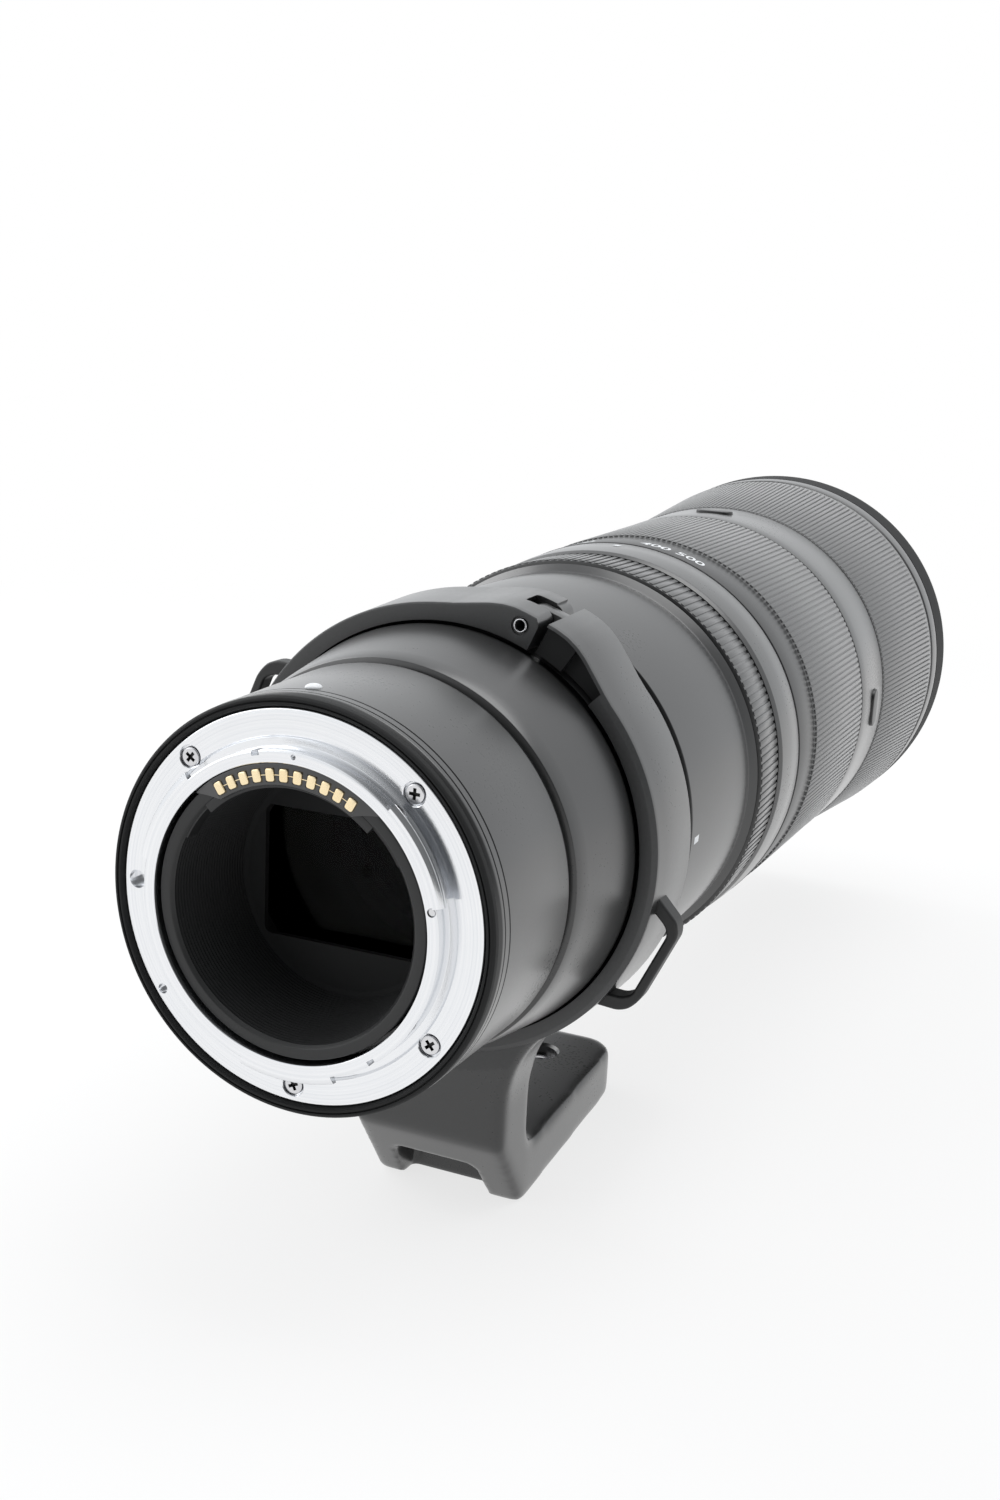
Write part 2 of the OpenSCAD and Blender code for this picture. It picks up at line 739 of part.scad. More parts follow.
// Oblong with round ends that stands on +X between two radii, larger than a button by "grow" all round
module oblong(grow, r0, r1) {
    reach = (button_len - button_w)/2;
    half = button_w/2 + grow;
    block([r0, -half, -reach], [r1, half, reach]);
    for (z = [-reach, reach]) translate([0, 0, z]) spoke(half, r0, r1);
}

module fn_button(a) {
    color([0.1, 0.1, 0.11]) at(a) translate([0, button_mid_y, 0]) {
        oblong(button_lip, button_seat_r, button_seat_r + button_flange_t);
        oblong(0, button_seat_r, button_ring_r + button_proud - 0.3);
        oblong(-0.3, button_seat_r, button_ring_r + button_proud);
    }
}

module front_barrel() {
    groove_y = rim_y + 4;
    bore = front_glass_r + fit;
    stop_y = front_glass_y - fit;
    color([0.2, 0.2, 0.21]) difference() {
        turned([[support_r + fit, button_y], [front_tube_r, button_y], [front_tube_r, front_y],
            [lip_r, front_y], [rim_r, rim_y - 0.6], [rim_r - 0.6, rim_y], [nose_r, rim_y],
            [nose_r, groove_y],
            [nose_r - 1, groove_y + 0.6], [nose_r - 1, groove_y + 2.6], [nose_r, groove_y + 3.2],
            [nose_r, nose_y - 0.5], [nose_r - 0.5, nose_y], [filter_r, nose_y],
            [filter_r, nose_y - filter_depth], [bore, nose_y - filter_depth - 0.4],
            [bore, stop_y], [front_tube_in_r, stop_y - 1.5], [front_tube_in_r, button_y + 4],
            [support_r + fit, button_y + 4]]);
        for (a = [30, 150, 270]) tube(nose_r - 1, nose_r + 1, groove_y + 1, nose_y + 1, a, 24);
    }
}

module front_elements() {
    y = front_glass_y;
    color([0.55, 0.7, 0.75, 0.5]) {
        glass(front_glass_r, y, y + 4, -3, 2);
        glass(front_glass_r, y + 6.1, y + 9, 0, 3);
        glass(front_glass_r, y + 12.1, retainer_y - fit, 0, front_bow);
    }
}

module front_retaining_ring() {
    end_y = retainer_y + retainer_t;
    inner = front_glass_r - 2.2;
    color([0.12, 0.12, 0.13]) turned([[front_glass_r, retainer_y], [front_glass_r, end_y],
        [front_glass_r - 1.4, end_y], [front_glass_r - 1.4, end_y - 0.6], [inner, end_y - 0.6],
        [inner, retainer_y + 0.6]]);
}

// Tripod collar

module at_hinge() {
    at(hinge_a) translate([hinge_r, 0, 0]) children();
}

module collar_ring(from, sweep) {
    turned([[collar_in_r, collar_y], [collar_rear_r - collar_chamfer, collar_y],
        [collar_rear_r, collar_y + collar_chamfer], [collar_front_r, collar_end - 0.4],
        [collar_front_r - 0.4, collar_end], [collar_in_r, collar_end]], from, sweep);
}

// Solid cone that the collar's outside follows, for cutting what sits on it
module collar_core() {
    turned([[0, collar_y - 1], [collar_rear_r + fit, collar_y - 1],
        [collar_rear_r + fit, collar_y + collar_chamfer], [collar_front_r + fit, collar_end],
        [0, collar_end]]);
}

// Points of a swelling beside the hinge that starts at full height and blends into the ring
function swelling(side, rise, sweep, cut) = [for (t = [0:0.1:1])
    let (u = max(0, (t*sweep - hump_flat)/(sweep - hump_flat)), a = side*t*sweep)
    (collar_front_r - cut + rise*(1 - u*u*(3 - 2*u)))*[cos(a), sin(a)]];

// Arc inside the ring that closes a swelling, from its end back to the hinge
function ring_arc(side, r, from, to) = [for (t = [1:-0.1:0]) let (a = side*(from + t*(to - from)))
    r*[cos(a), sin(a)]];

module hinge_web(side, rise, sweep) {
    outer = swelling(side, rise, sweep, 0.5);
    at(hinge_a) polygon_slab(concat(outer, ring_arc(side, collar_in_r + 0.4, 0, sweep)));
}

// Hollow behind the base's hump, open to the rear and to the inside
module hump_pocket() {
    outer = swelling(-1, hump_rise, hump_sweep, 0.5 + hump_shell);
    inner = ring_arc(-1, collar_in_r - 1, 0, hump_sweep);
    at(hinge_a) intersection() {
        slab(collar_y - 1, collar_y + pocket_depth) polygon(concat(outer, inner));
        at(-hump_sweep + pocket_end) tube(collar_in_r - 2, collar_front_r + hump_rise, collar_y - 2,
            collar_y + pocket_depth + 1, 0, hump_sweep - pocket_end - pocket_start);
    }
}

module polygon_slab(points) {
    slab(collar_y + collar_chamfer + 0.2, collar_end - 0.6) polygon(points);
}

module lock_lug(low_z, high_z) {
    at(lock_a) block([collar_in_r + 1, lock_y - lock_lug_w/2, low_z],
        [lock_lug_top, lock_y + lock_lug_w/2, high_z]);
}

// Cylinder along the lock screw's axis, which crosses the split square
module lock_bar(r, z0, z1) {
    at(lock_a) translate([lock_r, lock_y, z0]) cylinder(h = z1 - z0, r = r);
}

module foot() {
    half = foot_w/2;
    half_front = foot_front_w/2;
    end_y = foot_y + foot_len;
    neck_y = foot_y + neck_depth;
    corner = [for (a = [90:-15:0]) foot_corner_r*[cos(a), sin(a)]];
    right = [for (c = corner) [half_front - foot_corner_r + c[0], end_y - foot_corner_r + c[1]]];
    left = [for (i = [len(right) - 1:-1:0]) [-right[i][0], right[i][1]]];
    intersection() {
        translate([0, 0, -foot_drop]) linear_extrude(height = foot_drop)
            polygon(concat([[-half, foot_y], [-half, neck_y]], left, right,
                [[half, neck_y], [half, foot_y]]));
        rotate([90, 0, 90]) translate([0, 0, -foot_w]) linear_extrude(height = 2*foot_w)
            polygon([[foot_y, 0], [foot_y, heel_h - foot_drop], [foot_y + heel_len, -foot_drop],
                [end_y - 1.5, -foot_drop], [end_y, 1.5 - foot_drop], [end_y, foot_top - 3],
                [end_y - 3, foot_top], [neck_y + foot_crook, foot_top],
                [neck_y, foot_top + foot_crook], [neck_y, 0]]);
    }
}

module collar_base() {
    color([0.28, 0.28, 0.29]) difference() {
        union() {
            collar_ring(base_start, base_sweep);
            hinge_web(-1, hump_rise, hump_sweep);
            at_hinge() bar(knuckle_r, knuckle_y, knuckle_y + knuckle_w);
            foot();
            lock_lug(lock_gap, lock_lug_t);
        }
        bar(collar_in_r, collar_y - 5, collar_end + 60);
        hump_pocket();
        at(lock_a) block([0, collar_y - 1, -foot_w], [lock_lug_top + 1, collar_end + 1, lock_gap + fit]);
        at_hinge() {
            bar(knuckle_r + knuckle_gap, collar_y - 1, knuckle_y);
            bar(knuckle_r + knuckle_gap, knuckle_y + knuckle_w, collar_end + 1);
            bar(hinge_pin_r + fit, collar_y - 1, collar_end + 1);
        }
        lock_bar(lock_screw_r + lock_hole_gap, -1, lock_grip + 2);
        block([-heel_notch_w/2, foot_y - 1, -foot_drop - 1],
            [heel_notch_w/2, foot_y + heel_notch_d, heel_notch_h - foot_drop]);
        for (y = socket_ys) translate([0, y, -foot_drop]) {
            translate([0, 0, -1]) cylinder(h = insert_len + 1 + fit, r = insert_r + fit);
            cylinder(h = foot_t + 1, r = sight_hole_r);
        }
    }
}

module collar_hinge_pin() {
    color("lightgray") at_hinge() difference() {
        bar(hinge_pin_r, collar_y - 0.2, collar_end + 0.1);
        bar(hinge_pin_hole_r, collar_y - 1, collar_end + 1);
    }
}

module foot_thread_inserts() {
    color("gray") for (y = socket_ys) translate([0, y, -foot_drop]) difference() {
        cylinder(h = insert_len, r = insert_r);
        translate([0, 0, -1]) cylinder(h = insert_len + 2, r = socket_r);
    }
}

module strap_lug(a) {
    half = lug_len/2;
    top = collar_front_r + lug_rise;
    low = collar_in_r + 1;
    taper = 4;
    color([0.1, 0.1, 0.11]) difference() {
        at(a) slab(lug_mid_y - lug_t/2, lug_mid_y + lug_t/2) difference() {
            polygon([[low, -half], [top - 2, -half + taper - 1], [top, -half + taper + 1],
                [top, half - taper - 1], [top - 2, half - taper + 1], [low, half]]);
            polygon([[collar_rear_r - 1, lug_bar - half], [top - lug_bar, lug_bar + taper - half],
                [top - lug_bar, half - lug_bar - taper], [collar_rear_r - 1, half - lug_bar]]);
        }
        collar_core();
    }
}

module collar_arm() {
    color([0.28, 0.28, 0.29]) difference() {
        union() {
            collar_ring(arm_start, arm_end - arm_start);
            hinge_web(1, arm_rise, arm_sweep);
            at_hinge() bar(knuckle_r, collar_y + 0.1, collar_end - 0.1);
            lock_lug(-lock_lug_t, -lock_gap);
        }
        bar(collar_in_r, collar_y - 5, collar_end + 5);
        at_hinge() {
            bar(knuckle_r + knuckle_gap, knuckle_y - knuckle_gap, knuckle_y + knuckle_w + knuckle_gap);
            bar(hinge_pin_r + bore_gap, collar_y - 1, collar_end + 1);
        }
        lock_bar(lock_screw_r + bore_gap, -lock_lug_t - 1, 1);
    }
}

module lock_knob() {
    head_z = -lock_lug_t - run;
    color([0.12, 0.12, 0.13]) difference() {
        union() {
            lock_bar(lock_knob_r, head_z - lock_knob_len, head_z);
            lock_bar(lock_screw_r, head_z - 1, lock_grip);
        }
        for (i = [0:knob_flutes - 1]) at(lock_a) translate([lock_r, lock_y, head_z - lock_knob_len - 1])
            rotate(360*i/knob_flutes) translate([lock_knob_r + 0.6, 0, 0])
                cylinder(h = lock_knob_len - 1, r = 1.3);
    }
}

// Rings

module control_ring() {
    r = barrel_r + control_rise;
    end_y = control_y + control_len;
    color([0.2, 0.2, 0.21]) difference() {
        union() {
            ribbed_skin(control_y + 0.8, end_y - 0.8, r, r, control_ribs);
            bar(r - rib_depth + rib_root, control_y, end_y);
        }
        bar(spigot_r + run, control_y - 1, end_y + 1, $fn = 360);
    }
}

module zoom_ring() {
    land_r = support_r + run;
    mid_r = key_r + fit;
    band_y = zoom_y + zoom_band;
    color([0.17, 0.17, 0.18]) difference() {
        turned([[land_r, zoom_y], [zoom_band_r - 0.3, zoom_y], [zoom_band_r, zoom_y + 0.3],
            [zoom_band_r, band_y], [zoom_core_r, band_y], [zoom_core_r, zoom_end], [land_r, zoom_end],
            [land_r, zoom_end - land_len],
            [mid_r, zoom_end - land_len], [mid_r, zoom_y + 4], [land_r, zoom_y + 4]]);
        at(key_a) block([land_r - 1, key_y - fit, -key_w/2 - fit],
            [key_r + fit, key_y + key_len + fit, key_w/2 + fit]);
    }
}

module zoom_grip() {
    r = zoom_band_r + zoom_grip_t - 0.7;
    color([0.15, 0.15, 0.16]) difference() {
        ribbed_skin(zoom_y + zoom_band + fit, zoom_end - 0.2, r, r + zoom_flare, zoom_ribs);
        bar(zoom_core_r + fit, zoom_y, zoom_end + 1, $fn = 360);
    }
}

// Helical slot that lifts a roller by "rise" while the cam barrel turns through the zoom throw
module cam_slot(a, y, rise) {
    travel = abs(rise);
    rate = zoom_throw/travel;
    arc = zoom_throw*PI/180*cam_r;
    half_a = (roller_r + slot_gap)/cos(atan(travel/arc))*rate;
    margin = roller_r + slot_gap;
    low_y = min(y, y + rise) - margin;
    start_a = rise > 0 ? a - margin*rate : a + (travel + margin)*rate;
    wedge = [for (p = [[cam_in_r - 2, -1], [cam_r + 3, -1], [cam_r + 3, 1], [cam_in_r - 2, 1]])
        p[0]*[cos(half_a), p[1]*sin(half_a)]];
    height = travel + 2*margin;
    at(start_a) translate([0, low_y, 0]) rotate([-90, 0, 0])
        linear_extrude(height = height, twist = sign(rise)*rate*height, slices = 30,
            $fn = 4) polygon(wedge);
}

module cam_barrel() {
    color([0.45, 0.45, 0.47]) {
        difference() {
            tube(cam_in_r, cam_r, cam_y, cam_end);
            for (a = variator_angles) cam_slot(a, variator_y, variator_travel);
            for (a = compensator_angles) cam_slot(a, compensator_y, -compensator_travel);
        }
        at(key_a) block([cam_r - 0.6, key_y, -key_w/2], [key_r, key_y + key_len, key_w/2]);
    }
}

// Zoom, focus, stabiliser and diaphragm groups

module roller_cell(y, angles) {
    color([0.13, 0.13, 0.14]) {
        tube(zoom_glass_r + fit, cell_r, y - cell_end, y + cell_end);
        for (a = angles) at(a) translate([0, y, 0]) spoke(roller_r, cell_r - 1, cam_r - 0.3);
    }
}

module variator_cell() {
    roller_cell(variator_y, variator_angles);
}

module variator_elements() {
    y = variator_y - cell_end;
    color([0.6, 0.7, 0.85, 0.5]) {
        glass(zoom_glass_r, y + 1, y + 5.2, -1.4, -1.4);
        glass(zoom_glass_r, y + 6.2, y + 8.4, 0, 1.4);
    }
}

module compensator_cell() {
    roller_cell(compensator_y, compensator_angles);
}

module compensator_elements() {
    y = compensator_y - cell_end;
    color([0.6, 0.7, 0.85, 0.5]) glass(zoom_glass_r, y + 3, y + 7, 2, 2);
}

module focus_ring() {
    core = focus_rear_r - focus_grip_t;
    end_core = focus_front_r - focus_grip_t;
    end_y = focus_y + focus_len;
    color([0.17, 0.17, 0.18]) turned([[focus_core_in_r, focus_y], [core, focus_y], [end_core, end_y],
        [end_core - 2.2, end_y], [core - 0.6, focus_y + 10], [focus_core_in_r, focus_y + 8]]);
}

module focus_grip() {
    core = focus_rear_r - focus_grip_t + fit;
    end_core = focus_front_r - focus_grip_t + fit;
    end_y = focus_y + focus_len;
    color([0.15, 0.15, 0.16]) difference() {
        ribbed_skin(focus_y, end_y, focus_rear_r, focus_front_r, focus_ribs);
        turned([[0, focus_y], [core, focus_y], [end_core, end_y], [0, end_y]], $fn = 360);
    }
}

module focus_rods() {
    color("silver") at_rods() bar(rod_r, seat_flange_y + 1 + fit, ledge_y + 1 - fit);
}

module focus_motor() {
    color([0.4, 0.4, 0.42]) block([-yoke_w/2, seat_flange_y + seat_flange_t + fit, yoke_z],
        [yoke_w/2, ledge_y - fit, yoke_z + yoke_h]);
}

module focus_cell() {
    end_y = focus_cell_y + focus_cell_len;
    hub_r = rod_r + 1.8;
    coil_x = yoke_w/2 + coil_gap + coil_wall;
    ring_r = focus_glass_r + 4;
    color([0.13, 0.13, 0.14]) difference() {
        union() {
            tube(focus_glass_r + fit, ring_r, focus_cell_y, end_y);
            at_rods() bar(hub_r, focus_cell_y, end_y);
            for (a = [0, 180]) at(a) block([ring_r - 1, focus_cell_y, -2], [rod_circle_r, end_y, 2]);
            block([-coil_x, focus_cell_y, ring_r - 2],
                [coil_x, end_y, yoke_z + yoke_h + coil_gap + coil_wall]);
        }
        bar(focus_glass_r + fit, focus_cell_y - 1, end_y + 1);
        at_rods() bar(rod_r + bore_gap, focus_cell_y - 1, end_y + 1);
        block([-yoke_w/2 - coil_gap, focus_cell_y - 1, yoke_z - coil_gap],
            [yoke_w/2 + coil_gap, end_y + 1, yoke_z + yoke_h + coil_gap]);
    }
}

module focus_elements() {
    color([0.6, 0.75, 0.8, 0.5]) glass(focus_glass_r, focus_cell_y + 3, focus_cell_y + 6, -1.5, 0);
}

module vr_yaw_frame() {
    color([0.16, 0.16, 0.17]) tube(vr_glass_r + 4, vr_yaw_r, vr_y, vr_y + vr_yaw_t);
}

module vr_lens_cell() {
    y = vr_y + vr_yaw_t + run;
    color([0.2, 0.2, 0.21]) tube(vr_glass_r + fit, vr_cell_r, y, y + vr_cell_t);
}

module vr_elements() {
    y = vr_y + vr_yaw_t + run;
    color([0.6, 0.75, 0.8, 0.5]) glass(vr_glass_r, y + 1.5, y + 4.5, -1, 0);
}

module aperture_base() {
    plate_end = iris_y + iris_plate_t;
    rim_end = blade_y + iris_ring_t + run;
    color([0.1, 0.1, 0.11]) {
        turned([[iris_r, iris_y], [support_in_r - fit, iris_y], [support_in_r - fit, rim_end],
            [iris_ring_r + run, rim_end], [iris_ring_r + run, plate_end], [iris_r, plate_end]]);
        for (i = [0:blade_count - 1]) at(360*i/blade_count) translate([pivot_r, 0, 0])
            bar(pivot_pin_r, plate_end - 0.5, rim_end);
    }
}

module aperture_ring() {
    slot = tail_tip_r + 0.25;
    color([0.5, 0.45, 0.3]) difference() {
        tube(iris_ring_in_r, iris_ring_r, blade_y, blade_y + iris_ring_t);
        for (i = [0:blade_count - 1]) at(360*i/blade_count - iris_slot_a)
            block([iris_ring_in_r - 1, blade_y - 1, -slot],
                [pivot_r + tail_len + 1.8, blade_y + iris_ring_t + 1, slot]);
    }
}

module aperture_blade(i) {
    y = blade_y + (i - 1)*blade_pitch + 0.1;
    inner = iris_r + 0.2;
    sickle = concat([for (a = [8:8:96]) blade_r*[cos(a), sin(a)]],
        [for (a = [96:-8:8]) inner*[cos(a), sin(a)]]);
    color([0.06, 0.06, 0.07]) at(360*(i - 1)/blade_count) slab(y, y + blade_t) difference() {
        union() {
            polygon(sickle);
            translate([pivot_r, 0]) circle(r = 1.8);
            polygon([[pivot_r - 0.6, -1.6], [pivot_r + 1.2, 1.2],
                blade_r*[cos(12), sin(12)], inner*[cos(8), sin(8)]]);
            translate([pivot_r, 0]) rotate(-blade_throw/2) {
                translate([0, -0.5]) square([tail_len, 1]);
                translate([tail_len, 0]) circle(r = tail_tip_r);
            }
        }
        translate([pivot_r, 0]) circle(r = pivot_pin_r + bore_gap);
    }
}

mount_plate();
mount_screws();
mount_gasket();
contact_block();
contact_pins();
rear_light_baffle();
rear_elements();
rear_barrel();
main_board();
collar_seat();
support_tube();
main_barrel();
switch_panel();
index_ring();
guide_barrel();
button_ring();
front_barrel();
front_elements();
front_retaining_ring();
aperture_base();
focus_rods();
focus_motor();
collar_base();
collar_hinge_pin();
strap_lug(lug_a);  // strap_lug_right
foot_thread_inserts();
collar_arm();
strap_lug(lug_arm_a);  // strap_lug_left
lock_knob();
control_ring();
zoom_ring();
zoom_grip();
cam_barrel();
variator_cell();
variator_elements();
compensator_cell();
compensator_elements();
focus_ring();
focus_grip();
focus_cell();
focus_elements();
vr_yaw_frame();
vr_lens_cell();
vr_elements();
aperture_ring();
aperture_blade(1);  // aperture_blade_1
aperture_blade(2);  // aperture_blade_2
aperture_blade(3);  // aperture_blade_3
aperture_blade(4);  // aperture_blade_4
aperture_blade(5);  // aperture_blade_5
aperture_blade(6);  // aperture_blade_6
aperture_blade(7);  // aperture_blade_7
aperture_blade(8);  // aperture_blade_8
aperture_blade(9);  // aperture_blade_9
fn_button(90);  // fn_button_top
fn_button(180);  // fn_button_left
fn_button(270);  // fn_button_bottom
fn_button(0);  // fn_button_right
switch_knob(switch_ys[0]);  // focus_mode_switch
switch_knob(switch_ys[1]);  // focus_limit_switch
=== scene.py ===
import json
import math

import bmesh
import bpy
from mathutils import Matrix, Vector

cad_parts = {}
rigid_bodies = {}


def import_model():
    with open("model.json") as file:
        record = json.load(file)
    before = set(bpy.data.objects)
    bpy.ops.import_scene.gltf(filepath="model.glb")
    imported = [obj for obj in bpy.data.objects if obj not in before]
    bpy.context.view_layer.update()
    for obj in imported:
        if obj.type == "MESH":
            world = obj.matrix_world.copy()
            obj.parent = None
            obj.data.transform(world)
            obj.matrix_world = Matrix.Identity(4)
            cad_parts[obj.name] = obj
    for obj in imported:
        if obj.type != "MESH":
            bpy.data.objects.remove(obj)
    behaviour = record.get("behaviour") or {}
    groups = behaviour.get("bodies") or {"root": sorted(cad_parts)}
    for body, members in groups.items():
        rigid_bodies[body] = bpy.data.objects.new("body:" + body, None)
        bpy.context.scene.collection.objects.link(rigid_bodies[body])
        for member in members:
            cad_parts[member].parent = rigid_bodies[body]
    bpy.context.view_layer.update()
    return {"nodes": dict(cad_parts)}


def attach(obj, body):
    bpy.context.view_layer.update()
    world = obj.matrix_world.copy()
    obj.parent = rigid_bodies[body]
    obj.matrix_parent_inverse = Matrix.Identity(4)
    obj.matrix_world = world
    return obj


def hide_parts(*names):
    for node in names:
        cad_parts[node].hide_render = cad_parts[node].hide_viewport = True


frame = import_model()
nodes = frame["nodes"]
print("frame loaded,", len(nodes), "nodes")

# Sizes below are in millimetres; place() turns a finished piece into metres.
# Angles go round the optical axis from +X towards +Z.
# Points of a turned outline are radius, y and sometimes a rounding.
mm = 0.001


# Shader sockets and finishes

class Wire:  # one node output that can stand in a sum
    def __init__(self, finish, socket):
        self.finish = finish
        self.socket = socket

    def maths(self, operation, first, second):
        return self.finish.node("ShaderNodeMath", {"operation": operation}, {0: first, 1: second})

    def __add__(self, other):
        return self.maths("ADD", self, other)

    def __radd__(self, other):
        return self.maths("ADD", other, self)

    def __sub__(self, other):
        return self.maths("SUBTRACT", self, other)

    def __rsub__(self, other):
        return self.maths("SUBTRACT", other, self)

    def __mul__(self, other):
        return self.maths("MULTIPLY", self, other)

    def __rmul__(self, other):
        return self.maths("MULTIPLY", other, self)

    def __pow__(self, other):
        return self.maths("POWER", self, other)

    def __gt__(self, other):
        return self.maths("GREATER_THAN", self, other)


class Finish:  # a node tree that is filled node by node
    def __init__(self, tree):
        self.tree = tree
        tree.nodes.clear()

    def node(self, kind, settings=None, inputs=None, out=0):
        made = self.tree.nodes.new(kind)
        for key, value in (settings or {}).items():
            setattr(made, key, value)
        for key, value in (inputs or {}).items():
            if isinstance(value, Wire):
                self.tree.links.new(value.socket, made.inputs[key])
            else:
                made.inputs[key].default_value = value
        return Wire(self, made.outputs[out]) if len(made.outputs) else None

    def spots(self, size, detail=2.0, roughness=0.5):  # noise with spots of about that many mm
        where = self.node("ShaderNodeTexCoord", out="Object")
        return self.node("ShaderNodeTexNoise", {}, {"Vector": where, "Scale": 500 / size, "Detail": detail,
                                                    "Roughness": roughness})

    def turnedLines(self, lean, scale, detail):  # lines that a lathe leaves round the optical axis
        where = self.node("ShaderNodeTexCoord", out="Object")
        x, y, z = [self.node("ShaderNodeSeparateXYZ", {}, {0: where}, axis) for axis in range(3)]
        radius = (x * x + z * z) ** 0.5
        return self.node("ShaderNodeTexNoise", {"noise_dimensions": "1D"},
                         {"W": (radius + y * lean) * scale, "Detail": detail})

    def rays(self):  # 1 for what the camera sees, and 1 for what is mirrored or refracted
        names = ("Is Camera Ray", "Is Glossy Ray", "Is Transmission Ray")
        seen, glossy, through = [self.node("ShaderNodeLightPath", out=name) for name in names]
        return seen, glossy + through

    def blend(self, factor, first, second):
        return self.node("ShaderNodeMix", {"data_type": "RGBA"}, {0: factor, 6: first, 7: second}, 2)

    def bump(self, height, strength, depth):
        return self.node("ShaderNodeBump", {},
                         {"Height": height, "Strength": strength, "Distance": depth * mm})

    def end(self, **sockets):
        inputs = {key.replace("_", " "): value for key, value in sockets.items()}
        shader = self.node("ShaderNodeBsdfPrincipled", {}, inputs)
        self.node("ShaderNodeOutputMaterial", {}, {"Surface": shader})


def newFinish(name):
    material = bpy.data.materials.new(name)
    material.use_nodes = True
    return material, Finish(material.node_tree)


def grey(value, tint=0.0):
    return (value, value * (1 + tint * 0.5), value * (1 + tint), 1)


def paintFinish(name, dark, light, rough, grain, depth, gloss=0.5, coat=0.0):  # paint with a fine grain
    material, f = newFinish(name)
    fine, cloud = f.spots(grain, 3), f.spots(14, 3)
    tone = (fine - 0.5) * 0.5 + cloud
    f.end(Base_Color=f.blend(tone, grey(dark, 0.04), grey(light, 0.05)),
          Roughness=rough + (cloud - 0.5) * 0.10 + (fine - 0.5) * 0.10,
          Normal=f.bump(fine, 0.12, depth), Specular_IOR_Level=gloss, Coat_Weight=coat, Coat_Roughness=rough)
    return material


def turnedFinish(name, dark, light, rough, metallic, pitch, depth):  # metal turned on a lathe
    material, f = newFinish(name)
    lines, cloud = f.turnedLines(0.7, 1000 / pitch, 3.0), f.spots(9, 3)
    f.end(Base_Color=f.blend(lines * 0.7 + cloud * 0.3, grey(dark), grey(light)), Metallic=metallic,
          Roughness=rough + (lines - 0.5) * 0.18 + (cloud - 0.5) * 0.1,
          Normal=f.bump(lines, 0.3, depth))
    return material


def platedFinish():  # bright mount plating with concentric machining lines
    material, f = newFinish("brightPlating")
    lines, bands, smear = f.turnedLines(0.6, 3600, 4.0), f.turnedLines(0.6, 420, 1.0), f.spots(5, 3)
    tone = bands * 0.6 + lines * 0.5 - 0.1 + (smear - 0.5) * 0.3
    f.end(Base_Color=f.blend(tone, (0.74, 0.76, 0.79, 1), (0.96, 0.96, 0.965, 1)), Metallic=1.0,
          Roughness=0.15 + (lines - 0.5) * 0.12 + (smear - 0.5) * 0.10,
          Normal=f.bump(lines * 0.6 + bands * 0.4, 0.30, 0.02))
    return material


def metalFinish(name, dark, light, rough, grain):
    material, f = newFinish(name)
    fine, cloud = f.spots(grain, 3), f.spots(4, 2)
    f.end(Base_Color=f.blend(cloud, dark, light), Metallic=1.0,
          Roughness=rough + (fine - 0.5) * 0.2, Normal=f.bump(fine, 0.15, 0.01))
    return material


def rubberFinish():
    material, f = newFinish("gripRubber")
    fine, dust = f.spots(0.35, 4, 0.6), f.spots(6, 4, 0.65)
    tone = (dust - 0.35) * 1.1 + (fine - 0.5) * 0.5
    f.end(Base_Color=f.blend(tone, grey(0.052, 0.03), grey(0.084, 0.03)),
          Roughness=0.40 + (fine - 0.5) * 0.2 + (dust - 0.5) * 0.1, Normal=f.bump(fine, 0.4, 0.03),
          Sheen_Weight=0.4, Sheen_Roughness=0.5, Coat_Weight=0.4, Coat_Roughness=0.35)
    return material


def boardFinish():
    material, f = newFinish("circuitBoard")
    where = f.node("ShaderNodeTexCoord", out="Object")
    tones = {"Color1": (0.02, 0.11, 0.05, 1), "Color2": (0.02, 0.15, 0.07, 1),
             "Mortar": (0.05, 0.24, 0.11, 1)}
    tracks = f.node("ShaderNodeTexBrick", {"offset": 0.5},
                    {"Vector": where, "Scale": 420.0, "Mortar Size": 0.06, **tones})
    f.end(Base_Color=tracks, Roughness=0.34 + (f.spots(1, 2) - 0.5) * 0.1,
          Normal=f.bump(f.spots(0.8, 2), 0.15, 0.02))
    return material


def glassFinish(name, colour, film, ior):
    material, f = newFinish(name)
    haze = f.spots(3, 3)
    f.end(Base_Color=f.blend(haze * 0.25, colour, (1, 1, 1, 1)), Roughness=0.015 + (haze > 0.62) * 0.02,
          Transmission_Weight=1.0, IOR=ior, Thin_Film_Thickness=film, Thin_Film_IOR=1.36)
    return material


satinBlack = paintFinish("satinBlackPaint", 0.008, 0.018, 0.30, 0.30, 0.008, 0.5, 0.9)
scaleBlack = paintFinish("scaleBandPaint", 0.008, 0.016, 0.34, 0.30, 0.02, 0.5, 0.2)
collarBlack = paintFinish("collarCrinklePaint", 0.010, 0.020, 0.30, 0.35, 0.006, 0.5, 0.7)
# lighter paint for the collar's rear-facing faces: partly the textured cast band, partly painted light that
# brightens faces turned towards the dark side of the studio
castEdgeAndPaintedLight = paintFinish("castEdgeAndPaintedLightFinish", 0.020, 0.050, 0.42, 0.30, 0.02, 0.5, 0.3)
plastic = paintFinish("mattePlastic", 0.010, 0.020, 0.46, 0.45, 0.03)
bumper = paintFinish("bumperMatte", 0.010, 0.020, 0.62, 0.40, 0.03, 0.2)
throatBlack = paintFinish("throatFlock", 0.012, 0.024, 0.76, 0.25, 0.03, 0.25)
whiteMark = paintFinish("whiteMarkPaint", 0.72, 0.86, 0.48, 0.20, 0.01)
innerMetal = turnedFinish("blackAnodised", 0.012, 0.030, 0.50, 0.2, 0.35, 0.02)
innerBright = turnedFinish("greyAnodised", 0.06, 0.11, 0.42, 0.5, 0.30, 0.02)
plating = platedFinish()
steel = metalFinish("brightSteel", (0.58, 0.58, 0.60, 1), (0.78, 0.78, 0.79, 1), 0.24, 0.3)
